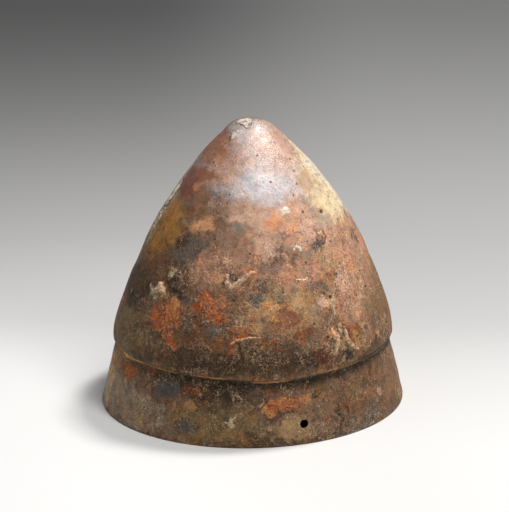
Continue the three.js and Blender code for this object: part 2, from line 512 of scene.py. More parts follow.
def line_lift(middle, line, wide, thick, seed):
    """The lift function of a raised line through places given as azimuth and height."""
    here = on_bronze(*middle)
    level, upward, _ = directions(here)
    route = []
    for place in line:
        away = on_bronze(*place) - here
        route.append(Vector((away.dot(level), away.dot(upward))))
    route = evenly(route, 0.7)

    def lift(u, v):
        spot = Vector((u + fractal(u, v, 2.5, seed) * 0.5, v + fractal(u, v, 2.5, seed + 9) * 0.5))
        away, at = min(((spot - point).length, i) for i, point in enumerate(route))
        share = at / (len(route) - 1)
        width = wide * (0.55 + 0.45 * math.sin(math.pi * min(max(share, 0.08), 0.92)))
        width *= 1 + 0.35 * fractal(u, v, 1.8, seed + 4)
        out = away / width
        if out > 1.15:
            return None
        return thick * smooth(1.05, 0.2, out) * (1 + 0.4 * fractal(u, v, 1.1, seed + 2)) - EDGE_SUNK

    return lift


# Each patch crust: finish, azimuth and height of its middle, then half width, half height,
# thickness, the angle of its first corner, how strong and how wide its grain is, and how ragged
# its edge.
PATCH_CRUSTS = {
    "apex_lime_cap": ("lime", (-54, 199), 6.2, 4.4, 1.0, 80, 0.5, 2.2, 0.25),
    "apex_lime_flake": ("lime", (-66.5, 192.5), 2.6, 3.6, 0.8, 60, 0.4, 2.0, 0.25),
    "brow_lime_lump": ("lime", (-69.5, 97), 5.2, 3.6, 1.7, 100, 0.5, 2.0, 0.25),
    "brow_scab": ("scab", (-60.5, 104), 7.4, 7.2, 1.8, 90, 0.8, 2.2, 0.25),
    "brow_cuprite": ("cuprite", (-59.5, 79.5), 10.5, 12.5, 0.55, -90, 0.9, 1.7, 0.4),
    "side_cuprite": ("cuprite", (-40, 93.5), 11, 8, 0.55, -90, 1.0, 1.7, 0.4),
    "low_cuprite": ("cuprite", (-26, 80), 8.5, 3.2, 0.5, 30, 1.0, 1.6, 0.4),
    "band_cuprite": ("cuprite", (-7, 28.5), 13.5, 4.4, 0.5, 20, 1.0, 1.6, 0.4),
    "side_blister": ("scab", (23, 130), 4.4, 5.0, 1.0, 90, 0.5, 2.2, 0.25),
    "brow_flank_crust": ("lime", (-105.5, 131.5), 4.0, 14, 0.9, 90, 0.7, 2.6, 0.25),
    "nape_shoulder_crust": ("lime", (61, 165.5), 6, 13, 0.55, -90, 1.0, 2.4, 0.25),
}
# Each line crust: half width, thickness, and the azimuths and heights that it runs through.
LINE_CRUSTS = {
    "hook_crust": (
        2.3,
        1.15,
        [(-33.5, 112.5), (-33.5, 108), (-31.5, 106), (-29, 107), (-26.5, 109.5), (-20.5, 115)],
    ),
    "flake_lip_crust": (1.0, 0.5, [(-30, 70.5), (-26.5, 73.5), (-21.5, 75), (-17, 75)]),
    "root_crust_front": (1.9, 0.9, [(15, 74.5), (15.5, 71), (16, 68)]),
    "root_crust_middle": (2.0, 0.9, [(20, 76), (18, 70), (17, 65), (15.5, 59.5)]),
    "root_crust_rear": (2.0, 0.9, [(21.5, 73.5), (22.5, 65), (25, 59.5), (27, 57)]),
}


def build_patch_crusts(materials):
    """Scabs, flakes, lumps and cuprite, each over its own solid."""
    for seed, (name, (kind, centre, across, up, *build)) in enumerate(PATCH_CRUSTS.items(), start=1):
        lift = patch_lift(across, up, *build, seed=seed * 3.7)
        grow_crust(name, centre, (across * 1.5, up * 1.5), lift, materials[kind], kind, [name])


def build_line_crusts(lime):
    """The lime that grew along roots and along the flaked edge."""
    for seed, (name, (wide, thick, line)) in enumerate(LINE_CRUSTS.items(), start=1):
        middle = line[len(line) // 2]
        places = [on_bronze(*place) for place in line]
        reach = 2.0 + max((place - on_bronze(*middle)).length for place in places)
        lift = line_lift(middle, line, wide, thick, seed * 5.1)
        grow_crust(name, middle, (reach, reach), lift, lime, "lime", [name], spacing=0.35)


# Materials.


class Nodes:
    """One node tree, with short calls for the nodes that the finishes use. Places are in mm."""

    def __init__(self, tree):
        self.tree = tree

    def put(self, kind, values=None, **settings):
        """A new node with its settings made and its sockets fed."""
        node = self.tree.nodes.new(kind)
        for key, value in settings.items():
            setattr(node, key, value)
        for key, value in (values or {}).items():
            self.give(node.inputs[key], value)
        return node

    def give(self, socket, value):
        """Feeds a socket from another socket or with a plain value."""
        if isinstance(value, bpy.types.NodeSocket):
            self.tree.links.new(value, socket)
        else:
            socket.default_value = value

    def math(self, how, a, b=0.0, c=0.0):
        return self.put("ShaderNodeMath", {0: a, 1: b, 2: c}, operation=how).outputs[0]

    def vector(self, how, a, b=(0, 0, 0)):
        node = self.put("ShaderNodeVectorMath", {0: a, 1: b}, operation=how)
        return node.outputs["Value" if how == "DOT_PRODUCT" else "Vector"]

    def scaled(self, vector, by):
        return self.put("ShaderNodeVectorMath", {0: vector, "Scale": by}, operation="SCALE").outputs[0]

    def mapped(self, place, shift=(0, 0, 0), scale=1.0):
        """A place scaled and then shifted."""
        values = {"Vector": place, "Location": shift, "Scale": (scale, scale, scale)}
        return self.put("ShaderNodeMapping", values).outputs[0]

    def z_of(self, place):
        return self.put("ShaderNodeSeparateXYZ", {0: place}).outputs["Z"]

    def noise(self, place, size, detail=3.0, rough=0.55):
        values = {"Vector": place, "Scale": 1.0 / size, "Detail": detail, "Roughness": rough}
        return self.put("ShaderNodeTexNoise", values)

    def fit(self, value, low, high, to_low, to_high):
        """From to_low at low to to_high at high, smooth between them and level beyond.

        A smooth step stays between its ends by itself. With the node's own clamp, the renderer
        would hold back every mask until all of them are worked out, and run out of room for them.
        """
        values = {"Value": value, "From Min": low, "From Max": high}
        values |= {"To Min": to_low, "To Max": to_high}
        node = self.put("ShaderNodeMapRange", values, interpolation_type="SMOOTHSTEP", clamp=False)
        return node.outputs["Result"]

    def rise(self, value, low, high):
        """0 below low, 1 above high and smooth between them; high may be the lower one."""
        return self.fit(value, low, high, 0.0, 1.0)

    def mix(self, under, over, share, blend="MIX"):
        """One colour laid over another. The node's sockets 6 and 7 are its two colours."""
        values = {0: share, 6: under, 7: over}
        return self.put("ShaderNodeMix", values, data_type="RGBA", blend_type=blend).outputs[2]

    def total(self, *values):
        """The sum of pairs of a value and its weight."""
        whole = 0.0
        for value, weight in values:
            whole = self.math("MULTIPLY_ADD", value, weight, whole)
        return whole

    def group(self, name, values=None):
        """The outputs of a node group of that name, placed here with its own values."""
        node = self.tree.nodes.new("ShaderNodeGroup")
        node.node_tree = GROUPS[name]
        for key, value in (values or {}).items():
            self.give(node.inputs[key], value)
        return node.outputs


def paint(code):
    """A colour written as sRGB hex digits, as the linear values that a socket takes."""
    parts = [int(code[i : i + 2], 16) / 255 for i in (0, 2, 4)]
    return [p / 12.92 if p <= 0.04045 else ((p + 0.055) / 1.055) ** 2.4 for p in parts] + [1.0]


SOCKETS = {"value": "NodeSocketFloat", "vector": "NodeSocketVector", "colour": "NodeSocketColor"}
GROUPS = {}


def new_group(name, inputs, outputs):
    """A node group with named inputs and outputs, kept under its name."""
    tree = bpy.data.node_groups.new(name, "ShaderNodeTree")
    for label, kind in inputs.items():
        tree.interface.new_socket(label, in_out="INPUT", socket_type=SOCKETS[kind])
    for label, kind in outputs.items():
        tree.interface.new_socket(label, in_out="OUTPUT", socket_type=SOCKETS[kind])
    GROUPS[name] = tree
    return tree


def ends(nodes):
    """The sockets that bring a group its inputs and take its outputs."""
    return nodes.put("NodeGroupInput").outputs, nodes.put("NodeGroupOutput").inputs


def make_place_group():
    """Where a point of the skin lies, plain and wandering, and how ragged an edge is there.

    Both places leave through a Mapping node, so that the renderer needs no conversion before
    each stain and keeps few of their masks at one time.
    """
    outputs = {"Place": "vector", "Wandering": "vector"}
    outputs |= {"Level": "value", "Height": "value", "Ragged": "value"}
    nodes = Nodes(new_group("place", {}, outputs))
    _, out = ends(nodes)
    metres = nodes.put("ShaderNodeTexCoord").outputs["Object"]
    place = nodes.mapped(metres, scale=1 / MM)
    drifting = metres
    for size, reach in ((14.0, 13.0), (4.6, 11.0), (1.5, 4.0)):
        way = nodes.noise(place, size, 2.0, 0.5).outputs["Color"]
        way = nodes.scaled(nodes.vector("SUBTRACT", way, (0.5, 0.5, 0.5)), reach * MM)
        drifting = nodes.vector("ADD", drifting, way)
    ragged = nodes.math("SUBTRACT", nodes.noise(place, 3.4, 7.0, 0.74).outputs["Fac"], 0.5)
    nodes.give(out["Place"], place)
    nodes.give(out["Wandering"], nodes.mapped(drifting, scale=1 / MM))
    nodes.give(out["Level"], nodes.math("DIVIDE", nodes.z_of(metres), MM))
    nodes.give(out["Height"], nodes.math("DIVIDE", nodes.z_of(drifting), MM))
    nodes.give(out["Ragged"], nodes.math("MULTIPLY", ragged, 3.0))


# A stain is looked for as far out as this many times its reach.
STAIN_SPAN = 2.5


def make_stain_group():
    """The mask of one oval stain, its edge soft by Edge and eaten away by Break.

    Span is where the stain is no longer looked for, STAIN_SPAN times its reach.
    """
    inputs = {"Wandering": "vector", "Ragged": "value", "Centre": "vector", "Turn": "vector"}
    inputs |= {"Span": "vector", "Edge": "value", "Break": "value"}
    nodes = Nodes(new_group("stain", inputs, {"Mask": "value"}))
    given, out = ends(nodes)
    values = {"Vector": given["Wandering"], "Location": given["Centre"]}
    values |= {"Rotation": given["Turn"], "Scale": given["Span"]}
    local = nodes.put("ShaderNodeMapping", values, vector_type="TEXTURE").outputs[0]
    inward = nodes.put("ShaderNodeTexGradient", {0: local}, gradient_type="SPHERICAL").outputs["Fac"]
    far = nodes.math("MULTIPLY_ADD", inward, -STAIN_SPAN, STAIN_SPAN)
    far = nodes.math("MULTIPLY_ADD", given["Ragged"], given["Break"], far)
    outer = nodes.math("ADD", 1.0, given["Edge"])
    inner = nodes.math("SUBTRACT", 1.0, given["Edge"])
    nodes.give(out["Mask"], nodes.rise(far, outer, inner))


def make_clouds_group():
    """Clouds of stain from noise: 0 below Low, full above High."""
    inputs = {"Place": "vector", "Shift": "vector", "Size": "value", "Low": "value", "High": "value"}
    nodes = Nodes(new_group("clouds", inputs, {"Mask": "value"}))
    given, out = ends(nodes)
    place = nodes.mapped(given["Place"], given["Shift"])
    scale = nodes.math("DIVIDE", 1.0, given["Size"])
    values = {"Vector": place, "Scale": scale, "Detail": 7.0, "Roughness": 0.7}
    cloud = nodes.put("ShaderNodeTexNoise", values).outputs["Fac"]
    nodes.give(out["Mask"], nodes.rise(cloud, given["Low"], given["High"]))


def make_specks_group():
    """Scattered specks: a Share of the cells, Size apart, have one that fills up to Fill of them."""
    inputs = {"Place": "vector", "Shift": "vector", "Size": "value", "Share": "value", "Fill": "value"}
    nodes = Nodes(new_group("specks", inputs, {"Mask": "value"}))
    given, out = ends(nodes)
    place = nodes.mapped(given["Place"], given["Shift"])
    bend = nodes.vector("SUBTRACT", nodes.noise(place, 0.9, 3.0, 0.6).outputs["Color"], (0.5, 0.5, 0.5))
    place = nodes.vector("ADD", place, nodes.scaled(bend, 1.6))
    scale = nodes.math("DIVIDE", 1.0, given["Size"])
    cell = nodes.put("ShaderNodeTexVoronoi", {"Vector": place, "Scale": scale}, feature="F1")
    chance = nodes.put("ShaderNodeSeparateColor", {0: cell.outputs["Color"]}).outputs
    chosen = nodes.math("LESS_THAN", chance["Red"], given["Share"])
    wide = nodes.math("MULTIPLY", given["Fill"], nodes.fit(chance["Green"], 0.0, 1.0, 0.35, 1.0))
    spot = nodes.rise(cell.outputs["Distance"], wide, nodes.math("MULTIPLY", wide, 0.45))
    nodes.give(out["Mask"], nodes.math("MULTIPLY", spot, chosen))


def make_threads_group():
    """Thin winding lines, where a noise of one Size comes within Width of its middle."""
    inputs = {"Place": "vector", "Shift": "vector", "Size": "value", "Width": "value"}
    nodes = Nodes(new_group("threads", inputs, {"Mask": "value"}))
    given, out = ends(nodes)
    place = nodes.mapped(given["Place"], given["Shift"])
    scale = nodes.math("DIVIDE", 1.0, given["Size"])
    values = {"Vector": place, "Scale": scale, "Detail": 4.0, "Roughness": 0.6}
    wave = nodes.put("ShaderNodeTexNoise", values).outputs["Fac"]
    away = nodes.math("ABSOLUTE", nodes.math("SUBTRACT", wave, 0.5))
    thin = nodes.math("MULTIPLY", given["Width"], 0.3)
    nodes.give(out["Mask"], nodes.rise(away, given["Width"], thin))


class Painter(Nodes):
    """Nodes that lay stains, clouds and specks of colour over one another on the skin."""

    def __init__(self, tree):
        super().__init__(tree)
        where = self.group("place")
        self.place = where["Place"]
        self.wandering = where["Wandering"]
        self.level = where["Level"]
        self.height = where["Height"]
        self.ragged = where["Ragged"]

    def stain(self, azimuth, height, across, up, tilt, edge, broken, place=None):
        """The mask of one oval stain on the bronze."""
        middle = on_bronze(azimuth, height)
        sides = Matrix(directions(middle)).transposed()
        turned = sides @ Matrix.Rotation(math.radians(tilt), 3, "Z")
        values = {
            "Wandering": place or self.wandering,
            "Ragged": self.ragged,
            "Centre": middle,
            "Turn": turned.to_euler(),
            "Span": Vector((across, up, 30 + max(across, up))) * STAIN_SPAN,
            "Edge": edge,
            "Break": broken,
        }
        return self.group("stain", values)["Mask"]

    def clouds(self, size, low, high, shift, place=None):
        values = {"Place": place or self.wandering, "Shift": shift, "Size": size}
        return self.group("clouds", {**values, "Low": low, "High": high})["Mask"]

    def specks(self, size, share, fill, shift):
        values = {"Place": self.place, "Shift": shift, "Size": size, "Share": share, "Fill": fill}
        return self.group("specks", values)["Mask"]

    def threads(self, size, width, shift):
        values = {"Place": self.place, "Shift": shift, "Size": size, "Width": width}
        return self.group("threads", values)["Mask"]

    def patchy_threads(self, size, width, shift, patches):
        """Threads that show only within clouds, which are given as their size, low, high and shift."""
        return self.math("MULTIPLY", self.threads(size, width, shift), self.clouds(*patches))

    def lay(self, under, code, mask, strength):
        """Lays a colour over another within a mask."""
        return self.mix(under, paint(code), self.math("MULTIPLY", mask, strength))

    def lay_stains(self, colour, stains, place=None):
        """Lays stains with places of their own, and the painted shade and highlights given like them,
        over a colour, one after another.
        """
        for azimuth, height, across, up, tilt, tint, strength, edge, broken in stains:
            mask = self.stain(azimuth, height, across, up, tilt, edge, broken, place)
            colour = self.lay(colour, TONES[tint], mask, strength)
        return colour

    def shade(self, under, value, low, high, dark, light, share=1.0):
        """Darkens and lightens a colour as a value goes from low to high."""
        return self.mix(under, self.fit(value, low, high, dark, light), share, "MULTIPLY")


# Clouds of tone all over the skin: size in mm, where they begin and are full, colour, strength.
# The wide tones cover what is under them.
WIDE_TONES = {
    "slate": (22.0, 0.53, 0.63, "574b45", 0.6),
    "olive": (19.0, 0.54, 0.64, "6c5738", 0.5),
    "tan": (16.0, 0.53, 0.63, "a87f5e", 0.5),
}
# The close tones only turn what is under them warmer, cooler, lighter or darker.
CLOSE_TONES = {
    "russet": (13.0, 0.53, 0.61, "ccab94", 0.75),
    "slate": (11.0, 0.53, 0.6, "868c98", 0.8),
    "peach": (10.0, 0.54, 0.61, "dccaba", 0.8),
    "ochre": (12.0, 0.54, 0.62, "cfba92", 0.8),
    "cream": (8.0, 0.56, 0.64, "ece0d2", 0.8),
    "umber": (6.0, 0.54, 0.61, "8a8076", 0.85),
    "mauve": (7.0, 0.55, 0.62, "b8aab4", 0.8),
    "rust": (4.5, 0.57, 0.64, "c6b0a4", 0.4),
    "ash": (4.0, 0.56, 0.63, "98a0a4", 0.7),
}

# The palette of the stains, roughly from pale to dark. Most stains have the tone nearest to a colour
# that was measured at their place in the photo.
TONES = {
    "white": "f0e6d4",
    "cream": "dcc8a4",
    "lilac": "c4bcc0",
    "apricot": "e4a472",
    "gold": "e8b45c",
    "peach": "cca48c",
    "buff": "bc986e",
    "stone": "aaa088",
    "ash": "a8947f",
    "pink": "b88d74",
    "orange": "d08850",
    "tan": "a87c58",
    "taupe": "947460",
    "grey": "86786a",
    "ochre": "a87a3c",
    "olive": "7c6a48",
    "mauve": "7c6660",
    "mud": "7e5e42",
    "copper": "b8602c",
    "russet": "86503a",
    "brick": "9a4826",
    "sienna": "8a4a1c",
    "slate": "645a52",
    "brown": "6a4830",
    "rust": "74381a",
    "steel": "4a4a4a",
    "umber": "503a28",
    "oxblood": "52200f",
    "peat": "3e2e20",
    "soot": "2c221c",
    "black": "16100d",
}

# Stains with a place of their own: azimuth in degrees, height, half width, half height and tilt,
# then tone, strength, how soft the edge is and how much of it is eaten away. The wide tints are
# laid first. A few are painted shade or painted highlights, as marked.
TINTS = {
    # crown lilac: partly the crown's own pale lilac, partly a painted highlight where the lamp's
    # highlight falls.
    "crown lilac highlight": (-16, 182, 34, 26, 0, "lilac", 0.9, 0.5, 0.25),
    "crown pink": (36, 186, 28, 20, 0, "pink", 0.85, 0.5, 0.25),
    "crown taupe": (-52, 175.5, 15, 15, 0, "pink", 0.85, 0.45, 0.3),
    "peach shoulder": (1, 144.5, 34, 15, 0, "peach", 0.85, 0.5, 0.25),
    "peach right": (24, 132.5, 22, 13, 0, "peach", 0.8, 0.5, 0.3),
    "taupe shoulder": (-38, 132, 20, 12, 0, "taupe", 0.8, 0.45, 0.35),
    # cream edge and pale left edge: pale crust along the outlines, partly a painted rim highlight.
    "cream edge": (75, 158, 7, 34, 0, "white", 0.8, 0.4, 0.5),
    "pale left edge": (-113, 150, 5, 30, 0, "cream", 0.7, 0.4, 0.6),
    "crown left": (-97, 184, 20, 14, 0, "sienna", 0.9, 0.35, 0.3),
    "rust flank": (-89, 160.5, 21, 10, 0, "rust", 0.95, 0.4, 0.35),
    # lilac upper: likewise partly a painted highlight below the crown's highlight.
    "lilac upper highlight": (-9, 163.5, 24, 10, 0, "lilac", 0.8, 0.5, 0.3),
    "olive flank": (-87, 130.5, 20, 21, 0, "ochre", 0.9, 0.45, 0.3),
    "grey edge": (-110.5, 132.5, 13, 26, 0, "stone", 0.85, 0.4, 0.5),
    "brown flank": (-74.5, 110, 13, 12, 0, "brown", 0.85, 0.45, 0.35),
    "dark left": (-91, 91.5, 26, 18, 0, "umber", 0.95, 0.4, 0.3),
    "dark left low": (-89, 62.5, 38, 15, 0, "olive", 0.9, 0.4, 0.3),
    "slate upper": (-62, 151, 18, 8, 0, "mud", 0.8, 0.4, 0.4),
    "slate brow": (-59, 122.5, 15, 11, 5, "slate", 0.85, 0.4, 0.4),
    "taupe middle": (-33.5, 115, 25, 12, 0, "pink", 0.85, 0.45, 0.35),
    "taupe right": (4.5, 112, 22, 12, 0, "pink", 0.85, 0.45, 0.35),
    "ochre right": (28, 116, 12, 9, 0, "buff", 0.75, 0.45, 0.4),
    "pink tan": (48.5, 114, 30, 27, 0, "pink", 0.9, 0.4, 0.25),
    "cream right": (50.5, 157, 20, 24, 0, "cream", 0.9, 0.45, 0.3),
    "tan low": (31, 89.5, 20, 16, 0, "pink", 0.85, 0.45, 0.3),
    "grey tan": (59, 75, 24, 27, 0, "mud", 0.85, 0.45, 0.25),
    "umber middle": (-8, 89.5, 27, 14, 0, "buff", 0.85, 0.45, 0.35),
    "umber brow": (-46, 73, 27, 13, 0, "brown", 0.9, 0.45, 0.35),
    # dark low: the cone's own darker tone low down, and partly painted shade there, where the side
    # turns upright above the lip.
    "dark low": (-25.5, 58.5, 66, 9.5, 0, "peat", 0.95, 0.35, 0.3),
    "band left": (-85.5, 18.5, 40, 15, 0, "ash", 0.85, 0.4, 0.3),
    "band middle": (-35, 15, 36, 13, 0, "olive", 0.85, 0.4, 0.35),
    # band top: painted shadow cast by the lip over the top of the band.
    "shadow under lip": (-38, 37, 33, 6, 0, "peat", 0.95, 0.4, 0.3),
    "band right": (41.5, 24, 42, 20, 0, "mud", 0.85, 0.4, 0.3),
    "dark low right": (34, 54, 15, 5, 10, "umber", 0.8, 0.4, 0.4),
    "band edge left": (-101, 18, 14, 20, 0, "cream", 0.8, 0.4, 0.3),
    "band foot left": (-76, 5, 28, 6, 0, "ash", 0.8, 0.45, 0.4),
    "band foot right": (27, 4, 25, 5, 0, "slate", 0.8, 0.45, 0.4),
    # band foot: partly the rim's own dark edge, partly a painted contact shadow along the foot.
    "band foot": (-14, 2, 40, 4, 0, "umber", 0.6, 0.45, 0.4),
}
